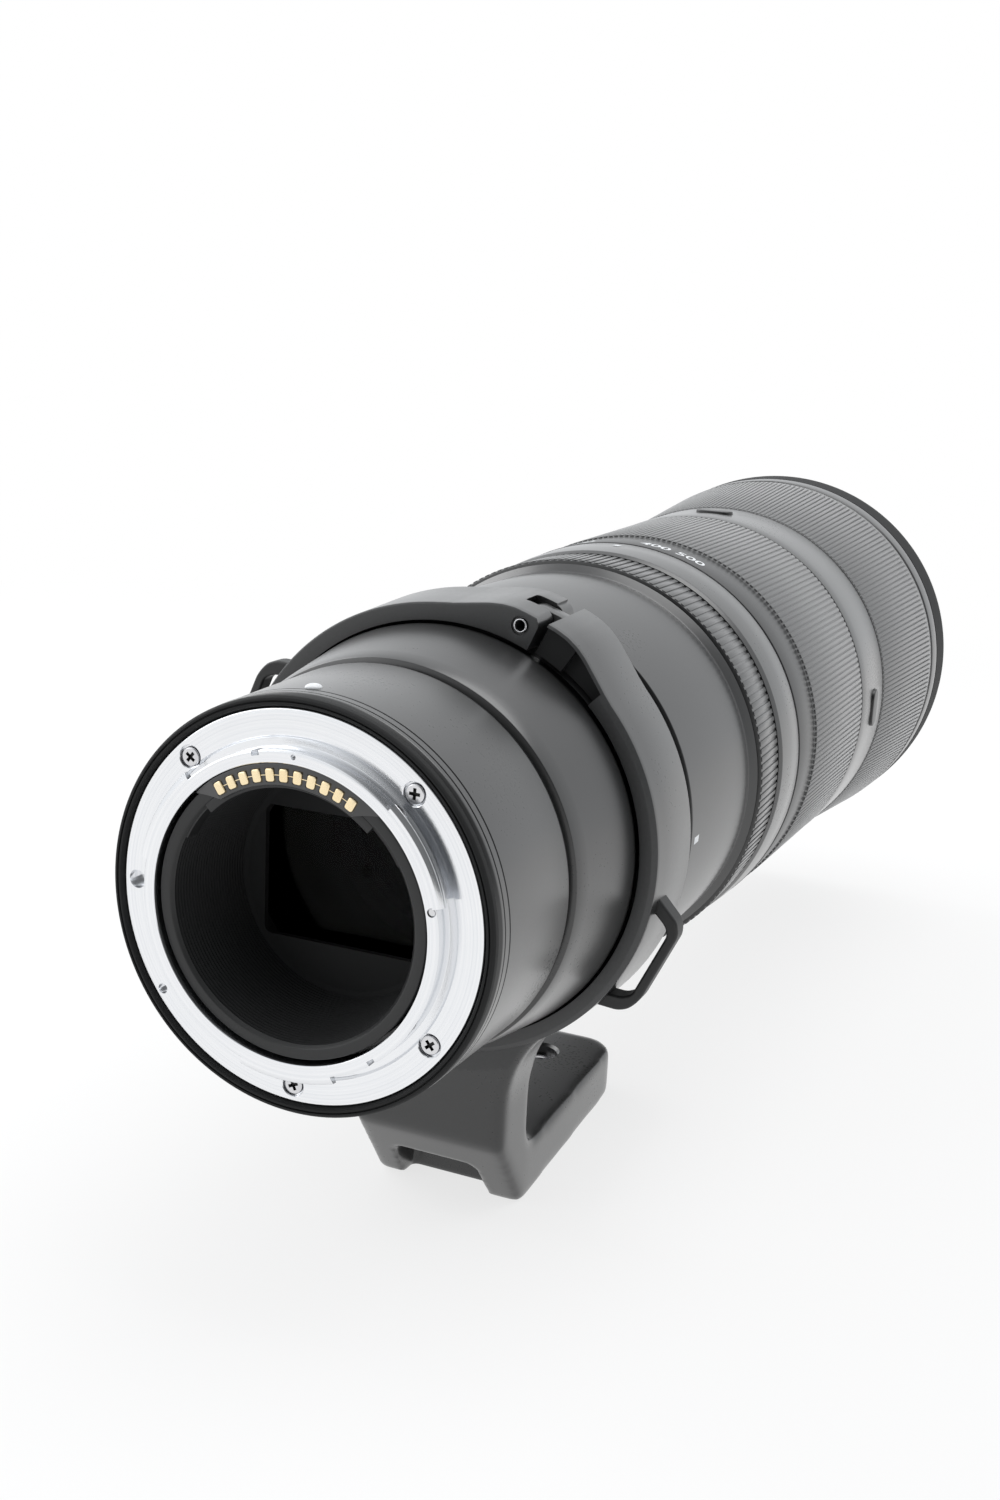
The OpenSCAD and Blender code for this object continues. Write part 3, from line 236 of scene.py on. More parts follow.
gold = metalFinish("contactGold", (0.92, 0.72, 0.42, 1), (0.99, 0.86, 0.60, 1), 0.24, 0.15)
rubber = rubberFinish()
board = boardFinish()
frontGlass = glassFinish("frontCoatedGlass", (0.86, 0.95, 0.90, 1), 330.0, 1.30)
innerGlass = glassFinish("innerCoatedGlass", (0.22, 0.24, 0.28, 1), 0.0, 1.12)
print("finishes made")


# Shaping helpers

def turnTo(angle):
    return Matrix.Rotation(math.radians(-angle), 3, "Y")


def turn(bm, angle):  # swings a shape round the optical axis
    bmesh.ops.rotate(bm, verts=bm.verts, cent=(0, 0, 0), matrix=turnTo(angle))
    return bm


def shift(bm, x=0.0, y=0.0, z=0.0):
    bmesh.ops.translate(bm, verts=bm.verts, vec=(x, y, z))
    return bm


def spread(v):  # how far a vertex is from the optical axis, and its angle
    return math.hypot(v.co.x, v.co.z), math.degrees(math.atan2(v.co.z, v.co.x))


def pull(v, share):  # moves a vertex straight to or from the optical axis
    v.co.x *= share
    v.co.z *= share


def lathe(outline, steps=240, start=0.0, sweep=360.0):
    bm = bmesh.new()
    verts = [bm.verts.new((p[0], p[1], 0)) for p in outline]
    for a, b in zip(verts, verts[1:] + verts[:1]):
        bm.edges.new((a, b))
    for size in sorted({p[2] for p in outline if len(p) > 2}):
        corners = [v for v, p in zip(verts, outline) if len(p) > 2 and p[2] == size]
        bmesh.ops.bevel(bm, geom=corners, offset=size, offset_type="OFFSET", segments=3, profile=0.5,
                        affect="VERTICES", material=-1)
    turn(bm, start)
    whole = sweep > 359.9
    bmesh.ops.spin(bm, geom=bm.verts[:] + bm.edges[:], cent=(0, 0, 0), axis=(0, -1, 0),
                   angle=math.radians(sweep), steps=steps, use_merge=whole)
    if not whole:
        bmesh.ops.holes_fill(bm, edges=[e for e in bm.edges if e.is_boundary], sides=0)
    bmesh.ops.remove_doubles(bm, verts=bm.verts, dist=0.0005)
    bmesh.ops.recalc_face_normals(bm, faces=bm.faces)
    return bm


def rod(radius, start, end, segments=40, endRadius=None, rounding=0.0):  # cylinder or cone between two points
    bm = bmesh.new()
    line = Vector(end) - Vector(start)
    bmesh.ops.create_cone(bm, cap_ends=True, segments=segments, radius1=radius, depth=line.length,
                          radius2=radius if endRadius is None else endRadius)
    if rounding:
        soften(bm, sharpEdges(bm, 1.0), rounding, 3)
    spin = Vector((0, 0, 1)).rotation_difference(line.normalized()).to_matrix()
    bmesh.ops.rotate(bm, verts=bm.verts, cent=(0, 0, 0), matrix=spin)
    bmesh.ops.translate(bm, verts=bm.verts, vec=(Vector(start) + Vector(end)) / 2)
    return bm


def soften(bm, edges, size, segments=2):
    bmesh.ops.bevel(bm, geom=edges, offset=size, offset_type="OFFSET", segments=segments, profile=0.5,
                    affect="EDGES", material=-1, clamp_overlap=True)
    return bm


def sharpEdges(bm, angle=0.5):
    return [e for e in bm.edges if len(e.link_faces) == 2 and e.calc_face_angle() > angle]


def box(low, high, rounding=0.0, segments=2):
    bm = bmesh.new()
    bmesh.ops.create_cube(bm, size=1.0)
    bmesh.ops.scale(bm, verts=bm.verts, vec=[b - a for a, b in zip(low, high)])
    bmesh.ops.translate(bm, verts=bm.verts, vec=[(a + b) / 2 for a, b in zip(low, high)])
    if rounding:
        soften(bm, bm.edges[:], rounding, segments)
    return bm


def slab(points, low, high, axis, rounding=0.0):  # flat outline pushed along x, y or z
    bm = bmesh.new()
    lift = {"x": lambda a, b: (low, a, b), "y": lambda a, b: (a, low, b), "z": lambda a, b: (a, b, low)}[axis]
    along = Vector({"x": (1, 0, 0), "y": (0, 1, 0), "z": (0, 0, 1)}[axis])
    face = bm.faces.new([bm.verts.new(lift(*p[:2])) for p in points])
    made = bmesh.ops.extrude_face_region(bm, geom=[face])
    far = [g for g in made["geom"] if isinstance(g, bmesh.types.BMVert)]
    bmesh.ops.translate(bm, verts=far, vec=along * (high - low))
    bmesh.ops.recalc_face_normals(bm, faces=bm.faces)
    for size in sorted({p[2] for p in points if len(p) > 2}):  # rounded corners of the outline
        spots = [Vector(lift(*p[:2])) for p in points if len(p) > 2 and p[2] == size]
        posts = [e for e in bm.edges if abs((e.verts[0].co - e.verts[1].co).normalized().dot(along)) > 0.99
                 and any((v.co - s).length < 1e-4 for v in e.verts for s in spots)]
        soften(bm, posts, size, 6)
    if rounding:
        soften(bm, sharpEdges(bm), rounding, 3)
    return bm


def toMesh(bm, name):
    mesh = bpy.data.meshes.new(name)
    bm.to_mesh(mesh)
    bm.free()
    return mesh


def show(name, data):
    holder = bpy.data.objects.new(name, data)
    bpy.context.scene.collection.objects.link(holder)
    return holder


def settled(holder):  # the shape that an object has after its modifiers
    bpy.context.view_layer.update()
    shown = holder.evaluated_get(bpy.context.evaluated_depsgraph_get())
    bm = bmesh.new()
    bm.from_mesh(shown.to_mesh())
    shown.to_mesh_clear()
    return bm


def join(*shapes):
    whole = bmesh.new()
    for shape in shapes:
        mesh = toMesh(shape, "joined")
        whole.from_mesh(mesh)
        bpy.data.meshes.remove(mesh)
    return whole


def carve(bm, *tools, operation="DIFFERENCE"):
    made = []
    for shape in (bm,) + tools:
        bmesh.ops.recalc_face_normals(shape, faces=shape.faces)
        made.append(show("carved", toMesh(shape, "carved")))
    for tool in made[1:]:
        cut = made[0].modifiers.new("cut", "BOOLEAN")
        cut.operation = operation
        cut.solver = "EXACT"
        cut.object = tool
    result = settled(made[0])
    for holder in made:
        bpy.data.batch_remove([holder, holder.data])
    return result


def melt(bm, grain, passes):  # an even skin whose edges are worn round
    holder = show("melted", toMesh(bm, "melted"))
    skin = holder.modifiers.new("skin", "REMESH")
    skin.mode = "VOXEL"
    skin.voxel_size = grain
    worn = holder.modifiers.new("worn", "SMOOTH")
    worn.factor = 0.5
    worn.iterations = passes
    result = settled(holder)
    bpy.data.batch_remove([holder, holder.data])
    return result


def copies(bm, count, sweep=360.0):  # the shape repeated round the optical axis
    bmesh.ops.spin(bm, geom=bm.verts[:] + bm.edges[:] + bm.faces[:], cent=(0, 0, 0), axis=(0, -1, 0),
                   angle=math.radians(sweep) * (count - 1) / count, steps=count - 1, use_duplicate=True)
    return bm


def place(bm, name, body, finish, replaced=(), angle=0.6, rounded=0.0):
    bmesh.ops.scale(bm, vec=(mm, mm, mm), verts=bm.verts)
    bmesh.ops.remove_doubles(bm, verts=bm.verts, dist=2e-7)
    bmesh.ops.recalc_face_normals(bm, faces=bm.faces)
    mesh = toMesh(bm, name)
    mesh.shade_smooth()
    mesh.set_sharp_from_angle(angle=angle)
    mesh.materials.append(finish)
    piece = show(name, mesh)
    if rounded:
        edge = piece.modifiers.new("roundedEdges", "BEVEL")
        edge.width = rounded * mm
        edge.segments = 3
        edge.limit_method = "ANGLE"
        edge.angle_limit = 0.6
        edge.use_clamp_overlap = True
        edge.harden_normals = True
    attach(piece, body)
    if replaced:
        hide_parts(*replaced)
    return piece


def paintFaces(piece, finish, chosen):  # another finish on the faces that are chosen by place and normal
    piece.data.materials.append(finish)
    for polygon in piece.data.polygons:
        if chosen(polygon.center / mm, polygon.normal):
            polygon.material_index = len(piece.data.materials) - 1


def ribBar(r0, r1, y0, y1, width, depth, rounding):  # one grip rib at angle 0 on a cone, open underneath
    length = y1 - y0
    bm = box((-depth, -length / 2, -width / 2), (0, length / 2, width / 2))
    top = [e for e in bm.edges if all(v.co.x > -0.01 for v in e.verts)]
    ends = [e for e in bm.edges if abs(e.verts[0].co.x - e.verts[1].co.x) > depth / 2]
    soften(bm, top + ends, rounding, 2)
    under = [f for f in bm.faces if all(v.co.x < 0.01 - depth for v in f.verts)]
    bmesh.ops.delete(bm, geom=under, context="FACES_ONLY")
    lean = Matrix.Identity(4)
    lean[0][1] = (r1 - r0) / length
    bmesh.ops.transform(bm, matrix=lean, verts=bm.verts)
    return shift(bm, x=(r0 + r1) / 2, y=(y0 + y1) / 2)


# Mount

mount = {
    "outline": [(25.2, -3.4, 0.25), (27.3, -3.4, 0.3), (27.3, 0.45, 0.1), (28.7, 0.45, 0.1),
                (29.0, 0.0, 0.05), (33.5, 0, 0.35), (33.5, 2.2), (25.2, 2.2)],
    "tab": [(26.6, -3.38), (27.7, -3.38, 0.12), (28.55, -2.93, 0.12), (28.6, -2.1, 0.12), (26.6, -2.1)],
    "tabStarts": (13, 133, 253), "tabSweep": 36,
    "bores": ((1.98, 1.98, -0.5, 1.15), (2.35, 1.9, -0.25, 0.2)),  # two radii, low and high of screw seats
    "holes": ((1.6, 30.9, -1, 1.8, 32, 180), (0.9, 31.9, -1, 1.2, 24, -144),  # lock pin, flange recess
              (0.75, 26.4, -4, -2.4, 20, 12), (0.45, 26.5, -4, -2.6, 20, 88)),  # stop pin, neck mark
    "notch": ((26.5, -4, -0.7), (28, -1.4, 0.7)), "notchAngles": (103, -53),
    "seal": [(33.55, 0.5), (34.0, -0.6, 0.15), (34.4, -0.6, 0.05), (34.45, -0.2), (34.65, -0.2),
             (34.7, -0.6, 0.05), (35.05, -0.6, 0.2), (35.45, -0.1, 0.1), (35.45, 1.0, 0.1), (34.9, 1.6),
             (33.55, 1.6)],
}
screw = {"circle": 30.6, "angles": (132, 48, -36, -90), "turns": (10, 40, 75, 25), "headR": 1.75,
         "headRim": 1.63, "headLow": 1.1, "headTop": 0.12, "rounding": 0.22,
         "arm": ((-1.25, -1, -0.32), (1.25, 0.8, 0.32)), "armFloor": (0.62, 0.8), "coreR": 0.55,
         "coreEnd": 0.3, "coreDepth": 0.75, "shankR": 0.8, "shankEnd": 5.4,
         "stopPin": (0.62, 26.4, -3.25, -2.4, 12)}


def makeMountPlate():
    m, s = mount, screw
    tools = []
    for angle in s["angles"]:  # counterbores with a small bevel at the mouth
        for radius, endRadius, low, high in m["bores"]:
            bore = rod(radius, (s["circle"], low, 0), (s["circle"], high, 0), 36, endRadius)
            tools.append(turn(bore, angle))
    for radius, away, low, high, segments, angle in m["holes"]:
        tools.append(turn(rod(radius, (away, low, 0), (away, high, 0), segments), angle))
    tools += [turn(box(*m["notch"]), angle) for angle in m["notchAngles"]]
    tabs = [lathe(m["tab"], 36, start, m["tabSweep"]) for start in m["tabStarts"]]
    plate = join(carve(lathe(m["outline"], 288), *tools), *tabs)
    place(plate, "mountPlate", "barrel", plating, ["mount_plate"], 0.5)


def makeScrews():
    s = screw
    screws = []
    for angle, twist in zip(s["angles"], s["turns"]):
        head = rod(s["headR"], (0, s["headLow"], 0), (0, s["headTop"], 0), 40, s["headRim"], s["rounding"])
        arms = []
        for side in (0, 90):
            arm = box(*s["arm"])
            for v in arm.verts:  # the cross narrows towards its floor
                if v.co.y > 0:
                    v.co.x *= s["armFloor"][0]
                    v.co.z *= s["armFloor"][1]
            arms.append(turn(arm, side + twist))
        core = rod(s["coreR"], (0, -1, 0), (0, s["coreDepth"], 0), 20, s["coreEnd"])
        shank = rod(s["shankR"], (0, 1.0, 0), (0, s["shankEnd"], 0), 24)
        screws.append(turn(shift(join(carve(head, *arms, core), shank), x=s["circle"]), angle))
    radius, away, low, high, angle = s["stopPin"]
    pin = turn(rod(radius, (away, low, 0), (away, high, 0), 20, rounding=0.12), angle)
    piece = place(join(*screws, pin), "mountScrews", "barrel", steel, ["mount_screws"])
    heads = [turnTo(angle) @ Vector((s["circle"], 0.4, 0)) for angle in s["angles"]]

    # the dark finish on the floor and walls of each cross recess is painted shade in the recess
    def inCross(spot, normal):
        return 0.18 < spot.y < 0.9 and min((spot - head).length for head in heads) < 1.4

    paintFaces(piece, innerMetal, inCross)
    place(lathe(mount["seal"], 288), "mountGasket", "barrel", bumper, ["mount_gasket"])


contacts = {"count": 11, "pitch": 6.2, "middle": 92.3, "circle": 23.2, "wide": 1.55, "deep": 2.15,
            "face": -3.0, "proud": 0.22, "inner": 21.5, "outer": 25.1, "base": 2.1, "half": 33.5,
            "taper": 9.0, "drop": 0.7, "wellWide": 0.95, "wellDeep": 1.2, "wellSink": 0.15,
            "trackHalf": 0.06, "trackSweep": 62}


def makeContacts():
    c = contacts
    r, face = c["circle"], c["face"]
    outline = [(c["inner"], face, 0.2), (c["outer"], face, 0.2),
               (c["outer"], c["base"]), (c["inner"], c["base"])]
    first = c["middle"] - (c["count"] - 1) / 2 * c["pitch"]
    wells = []
    for i in range(c["count"]):  # a moulded frame round each pad
        well = box((r - c["wellDeep"], face - 1, -c["wellWide"]),
                   (r + c["wellDeep"], face + c["wellSink"], c["wellWide"]), 0.2)
        wells.append(turn(well, first + i * c["pitch"]))
    block = carve(lathe(outline, 60, c["middle"] - c["half"], 2 * c["half"]), *wells)
    for start in (c["middle"] - c["half"] - c["taper"], c["middle"] + c["half"]):  # both ends taper off
        end = lathe(outline, 9, start, c["taper"])
        for v in end.verts:
            radius, angle = spread(v)
            far = (abs(angle - c["middle"]) - c["half"]) / c["taper"]
            pull(v, max(radius, c["inner"] + (c["outer"] - 0.3 - c["inner"]) * far) / radius)
            if v.co.y < 0:
                v.co.y += c["drop"] * far
        block = join(block, end)
    place(block, "contactBlock", "barrel", satinBlack, ["contact_block"], 0.5)
    pad = box((r - c["deep"] / 2, face - c["proud"], -c["wide"] / 2),
              (r + c["deep"] / 2, face + 1.5, c["wide"] / 2))
    soften(pad, [e for e in pad.edges if abs(e.verts[0].co.y - e.verts[1].co.y) > 1], 0.4, 3)
    soften(pad, [e for e in sharpEdges(pad, 1.2) if all(v.co.y < face for v in e.verts)], 0.15, 2)
    copies(turn(pad, first), c["count"], c["count"] * c["pitch"])
    top, low, half = face - 0.006, face + 0.4, c["trackHalf"]
    tracks = lathe([(r - half, top), (r + half, top), (r + half, low), (r - half, low)], 60,
                   c["middle"] - c["trackSweep"] / 2, c["trackSweep"])
    place(join(pad, tracks), "contactPads", "barrel", gold, ["contact_pins"])


baffle = {"outer": 24.6, "rear": -2.4, "mouth": 22.7, "floor": 20.9, "maskY": 16.5, "maskR": 20.2,
          "maskThick": 1.2, "grooves": 26, "grooveDepth": 0.2, "end": 32.0, "glassY": 19.5, "core": 19.4,
          "seat": 22.05, "hoods": ((20.9, 22.6, -2.2, 43), (21.9, 23.0, -1.7, 62)), "cutHalf": 37,
          "cut": [(21.4, -6), (27, -6), (27, 2.25), (21.4, 2.25)],
          "opening": [(-16, -11.75, 1.5), (16, -11.75, 1.5), (16, 11.75, 1.5), (-16, 11.75, 1.5)]}


def makeBaffle():
    b = baffle
    middle = contacts["middle"]
    inner = []
    step = (b["maskY"] - b["rear"] - 0.4) / b["grooves"]
    for i in range(b["grooves"]):  # light-trapping grooves down the throat
        y = b["rear"] + 0.4 + step * i
        r = b["mouth"] - 0.3 + (b["floor"] - b["mouth"]) * i / b["grooves"]
        inner += [(r, y), (r - b["grooveDepth"], y + step * 0.35), (r - b["grooveDepth"], y + step * 0.75)]
    shell = lathe([(b["mouth"], b["rear"], 0.2)] + inner +
                  [(b["core"], b["maskY"]), (b["core"], b["glassY"]), (b["seat"], b["glassY"]),
                   (b["seat"], b["end"]), (b["outer"], b["end"]), (b["outer"], b["rear"], 0.25)], 240)
    shell = carve(shell, lathe(b["cut"], 60, middle - b["cutHalf"], 2 * b["cutHalf"]))
    for low, high, y, half in b["hoods"]:  # stepped hood below the contacts
        hood = lathe([(low, y, 0.2), (high, y, 0.2), (high, 2.4), (low, 1.4)], 60, middle - half, 2 * half)
        shell = join(shell, hood)
    mask = rod(b["maskR"], (0, b["maskY"], 0), (0, b["maskY"] + b["maskThick"], 0), 120)
    mask = carve(mask, slab(b["opening"], b["maskY"] - 1, b["maskY"] + 3, "y"))
    whole = join(shell, mask)
    piece = place(whole, "rearBaffle", "barrel", throatBlack, ["rear_light_baffle"])

    def onRim(spot, normal):  # only the rim is smooth
        return spot.y < -1.2 and normal.y < -0.5

    paintFaces(piece, plastic, onRim)


def lensFace(radius, y, bow):
    return [(radius * t, y + bow * (1 - t * t)) for t in (i / 10 for i in range(10, -1, -1))]


def element(radius, y0, y1, rearBow, frontBow):
    return lathe(lensFace(radius, y1, frontBow) + lensFace(radius, y0, -rearBow)[::-1], 144)


rearGlass = ((22, 19.55, 23, -2, 1.5), (22, 25.5, 29.5, 1, 2))

makeMountPlate()
makeScrews()
makeContacts()
makeBaffle()
rearPair = join(*[element(*glass) for glass in rearGlass])
place(rearPair, "rearGlass", "barrel", innerGlass, ["rear_elements"])
print("mount made")


# Barrels and rings that are turned

rings = {
    "rearBarrel": ("barrel", "barrel_black", satinBlack, "rear_barrel", [
        (33.55, 1.65), (35.1, 1.65), (35.6, 2.1, 0.15), (35.6, 2.95), (35.3, 3.05), (35.3, 3.25),
        (35.6, 3.35), (35.62, 4.75), (35.32, 4.85), (35.32, 5.05), (35.64, 5.15), (36.3, 28.4, 0.3),
        (35.5, 29.3), (33.2, 29.3), (33.2, 6.05), (24.65, 6.05), (24.65, 2.25), (33.55, 2.25)]),
    "collarSeat": ("barrel", "barrel_black", satinBlack, "collar_seat", [
        (31.55, 24.6), (33.15, 24.6), (33.15, 29.35), (35.6, 29.35), (35.6, 30.2), (36.9, 30.4, 0.15),
        (37.6, 33.0, 1.0), (40.2, 50.3, 0.4), (40.2, 51.1, 0.1), (38.9, 51.2), (38.9, 56.5), (40.4, 57.5),
        (40.4, 69.9), (39.15, 69.9), (39.15, 79.9), (37.4, 79.9), (37.4, 46.6), (34.4, 43.6), (26.0, 43.6),
        (26.0, 39.6), (31.55, 39.6)]),
    "mainBarrel": ("barrel", "barrel_black", satinBlack, "main_barrel", [
        (41.25, 69.95), (41.9, 69.95), (41.9, 76.4), (43.0, 76.6, 0.2), (43.0, 116.9, 0.3),
        (44.7, 118.5, 0.15), (42.9, 118.5), (42.9, 146.65), (41.25, 146.65)]),
    "indexRing": ("barrel", "barrel_black", satinBlack, "index_ring", [
        (42.95, 132.8), (45.6, 132.8), (46.2, 134.0, 0.2), (46.55, 139.6), (46.78, 146.7, 0.35),
        (42.95, 146.7)]),
    "zoomRing": ("zoom_ring", "barrel_black", scaleBlack, "zoom_ring", [
        (41.5, 147.1), (46.9, 147.1, 0.3), (46.9, 161.7, 0.12), (46.2, 161.7), (46.2, 212.2), (41.5, 212.2),
        (41.5, 203.2), (43.15, 203.2), (43.15, 151.1), (41.5, 151.1)]),
    "focusRing": ("focus_ring", "barrel_black", scaleBlack, "focus_ring", [
        (46.9, 234.6), (47.9, 234.6), (52.5, 286.2), (50.3, 286.2), (47.3, 244.6), (46.9, 242.6)]),
    "retainingRing": ("barrel", "inner_metal", innerMetal, "front_retaining_ring", [
        (45.9, 308.0), (45.9, 309.8, 0.15), (44.5, 309.8, 0.1), (44.5, 309.2), (43.7, 309.2, 0.1),
        (43.7, 308.6)]),
}


def makeRings():
    for name, (body, slot, finish, node, outline) in rings.items():
        place(lathe(outline, 256), name, body, finish, [node])


buttons = {"y": 223.4, "angles": {"top": 90, "left": 180, "bottom": 270, "right": 0}, "half": 2.7,
           "reach": 2.4, "top": 49.4, "base": 47.9, "footLow": 47.4, "footGrow": 0.7, "play": 0.15,
           "ring": [(46.65, 209.9), (48.5, 209.9, 0.4), (48.75, 215.0), (49.15, 234.2, 0.5), (46.65, 234.2)]}


def oblong(grow, low, high):  # stands on +X, long way round the ring
    y, half = buttons["y"], buttons["half"] + grow
    reach, corner = buttons["reach"] + half, half - 0.02
    return slab([(y - half, -reach, corner), (y + half, -reach, corner), (y + half, reach, corner),
                 (y - half, reach, corner)], low, high, "x")


def makeButtons():
    b = buttons
    recesses = [turn(oblong(b["play"], 45, 52), angle) for angle in b["angles"].values()]
    ring = carve(lathe(b["ring"], 256), *recesses)
    place(ring, "buttonRing", "barrel", satinBlack, ["button_ring"], 0.5)
    for side, angle in b["angles"].items():
        cap = oblong(0, b["base"], b["top"])
        rim = [e for e in sharpEdges(cap, 1.0) if all(v.co.x > b["top"] - 0.01 for v in e.verts)]
        soften(cap, rim, 0.35, 3)
        whole = turn(join(cap, oblong(b["footGrow"], b["footLow"], b["base"])), angle)
        node = "fn_button_" + side
        place(whole, "fnButton." + side, node, scaleBlack, [node])


grips = {
    "controlRing": {"body": "control_ring", "node": "control_ring", "slot": "barrel_black",
                    "finish": satinBlack,
                    "sleeve": [(43.2, 118.9), (45.34, 118.9, 0.2), (45.34, 132.4, 0.2), (43.2, 132.4)],
                    "bar": (45.58, 45.58, 119.0, 132.35, 1.05, 0.5, 0.12), "count": 170},
    "zoomGrip": {"body": "zoom_ring", "node": "zoom_grip", "slot": "rubber", "finish": rubber,
                 "sleeve": [(46.25, 161.75), (46.8, 161.75), (47.25, 163.0), (48.3, 209.6, 0.2),
                            (46.25, 209.6)],
                 "bar": (47.4, 48.52, 162.2, 209.4, 0.98, 0.5, 0.2), "count": 216},
    "focusGrip": {"body": "focus_ring", "node": "focus_grip", "slot": "rubber", "finish": rubber,
                  "sleeve": [(47.95, 234.65), (49.2, 234.65, 0.2), (53.76, 286.15, 0.2), (52.55, 286.15)],
                  "bar": (49.42, 53.96, 235.0, 284.2, 1.0, 0.6, 0.2), "count": 240},
}


def makeGrips():
    for name, g in grips.items():
        ribs = copies(ribBar(*g["bar"]), g["count"])
        place(join(lathe(g["sleeve"], 260), ribs), name, g["body"], g["finish"], [g["node"]], 0.7)


makeRings()
makeButtons()
makeGrips()
print("rings and grips made")


# Front

front = {
    "outside": [(41.25, 212.6), (46.6, 212.6), (46.6, 286.6), (54.1, 286.6, 0.7), (54.35, 292.6),
                (54.2, 292.8), (54.2, 293.3), (54.4, 293.5), (54.9, 302.4, 1.2), (54.7, 304.2, 0.4),
                (52.5, 304.2), (52.5, 308.2), (51.5, 308.8), (51.5, 310.8), (52.5, 311.4),
                (52.5, 315.7, 0.4), (47.5, 315.7, 0.3)],
    "inside": [(47.5, 310.2), (45.95, 309.8), (45.95, 288.55), (44.8, 287.05), (44.8, 216.6), (41.25, 216.6)],
    "threadR": 47.5, "threadY": 315.1, "threadTurns": 6, "threadPitch": 0.8, "threadDepth": 0.42,
    "slot": [(51.5, 309.2), (54, 309.2), (54, 317), (51.5, 317)], "slotStarts": (30, 150, 270),
    "slotSweep": 24, "bumperY": 293.1, "bumperR": 53.0,
    "glass": ((45.9, 288.6, 292.6, -3, 2), (45.9, 294.7, 297.6, 0, 3), (45.9, 300.7, 307.95, 0, 2)),
}


def makeFront():
    f = front
    thread = []
    for i in range(f["threadTurns"]):  # filter thread
        y = f["threadY"] - i * f["threadPitch"]
        thread += [(f["threadR"], y), (f["threadR"] + f["threadDepth"], y - f["threadPitch"] / 2)]
    shell = lathe(f["outside"] + thread + f["inside"], 256)
    shell = carve(shell, *[lathe(f["slot"], 24, start, f["slotSweep"]) for start in f["slotStarts"]])
    piece = place(shell, "frontBarrel", "barrel", satinBlack, ["front_barrel"], 0.5)

    def onBumper(spot, normal):  # all that is ahead of the groove
        return spot.y > f["bumperY"] and math.hypot(spot.x, spot.z) > f["bumperR"]

    paintFaces(piece, bumper, onBumper)
    glass = join(*[element(*one) for one in f["glass"]])
    place(glass, "frontGlass", "barrel", frontGlass, ["front_elements"])


makeFront()
print("front made")


# Tripod collar

collar = {
    "rear": 51.7, "front": 69.3, "bore": 40.7, "rearR": 44.05, "frontR": 45.0, "split": 249, "splitGap": 0.55,
    "hinge": 70, "pinR": 44.2, "pinHole": 1.36, "armHole": 1.42, "armSink": 1.8, "clear": 3.9, "swing": 3.5,
    "knuckle": (59.4, 63.5), "armGap": (58.8, 64.2), "baseEnd": 64.2, "tip": 65.9,
    "tipRound": (47.2, 3.25, 2.2),
    "knuckleSide": [(40.9, -6.2), (46.9, -6.2), (46.9, 2.6, 2.5), (40.9, 2.6, 1.6)],
    "hollows": ((44.6, 11.4, 3.2), (55.6, 11.0, 1.6)),  # start, sweep and depth
    "hollowIn": 38.2, "wall": 0.55,
    "baseHump": [(41, 0.0), (44, 0.25), (47, 0.75), (50, 1.35), (53, 2.1), (56, 2.7), (59, 3.0),
                 (62, 3.0), (64.2, 2.9)],  # angle and rise
    "armHump": [(65, 2.8), (70, 2.8), (73, 2.75), (76, 2.4), (79, 1.85), (82, 1.2), (85, 0.65),
                (88, 0.25), (92, 0.05), (96, 0.0)],
    "pin": [(0.7, 52.9), (0.95, 52.0), (1.02, 51.55, 0.06), (1.3, 51.55, 0.1), (1.3, 69.4, 0.1),
            (0.7, 69.4, 0.1)],
}


def humpRise(table, angle):
    for (a, low), (b, high) in zip(table, table[1:]):
        if a <= angle <= b:
            return low + (high - low) * (angle - a) / (b - a)
    return table[0][1] if angle < table[0][0] else table[-1][1]


def swell(bm, hump):  # pushes the outside of a ring out beside the hinge
    for v in bm.verts:
        radius, angle = spread(v)
        share = min(1.0, max(0.0, (radius - collar["bore"] - 0.8) / 1.6))
        if 30 < angle < 120 and share > 0:
            pull(v, (radius + share * humpRise(hump, angle)) / radius)
    return bm


def collarRing(start, sweep, hump, bevel):
    c = collar
    outline = [(c["bore"], c["rear"], 0.1), (c["rearR"] - bevel, c["rear"], 0.1),
               (c["rearR"], c["rear"] + bevel * 0.6, 0.1), (c["rearR"] + 0.15, c["rear"] + 3.2, 1.5),
               (c["frontR"], c["front"], 0.4), (c["bore"], c["front"], 0.2)]
    return swell(lathe(outline, int(sweep), start, sweep), hump)


def hingeRod(radius, low=40, high=80):
    c = collar
    return turn(rod(radius, (c["pinR"], low, 0), (c["pinR"], high, 0)), c["hinge"])


def tipCorners():  # what is cut off the arm's tip to round it at the hinge
    c = collar
    top, reach, size = c["tipRound"]
    arc = []
    for i in range(9):
        a = i * math.pi / 16
        arc.append((top - size + size * math.cos(a), size - reach - size * math.sin(a)))
    outline = [(52, size - reach)] + arc + [(top - size, -9), (52, -9)]
    upper = slab(outline, c["rear"] - 1, c["front"] + 1, "y")
    lower = box((38, c["armGap"][1] - 1, -9), (43, c["front"] + 1, 0))  # clears the barrel as the arm opens
    return turn(upper, c["hinge"]), carve(turn(lower, c["hinge"]), hingeRod(c["swing"]))


lock = {"r": 54.0, "y": 60.5, "lugIn": 41.6, "lugWide": 6.5, "lugTop": 60.0, "lugThick": 7.6, "gap": 0.45,
        "threadR": 2.9, "holeR": 2.56, "knobR": 8.0, "knobLen": 11.5, "knobGap": 0.3, "flutes": 12,
        "fluteR": 1.3, "dishR": 5.2, "dishFloor": 4.6, "screwR": 2.5, "screwEnd": 4}


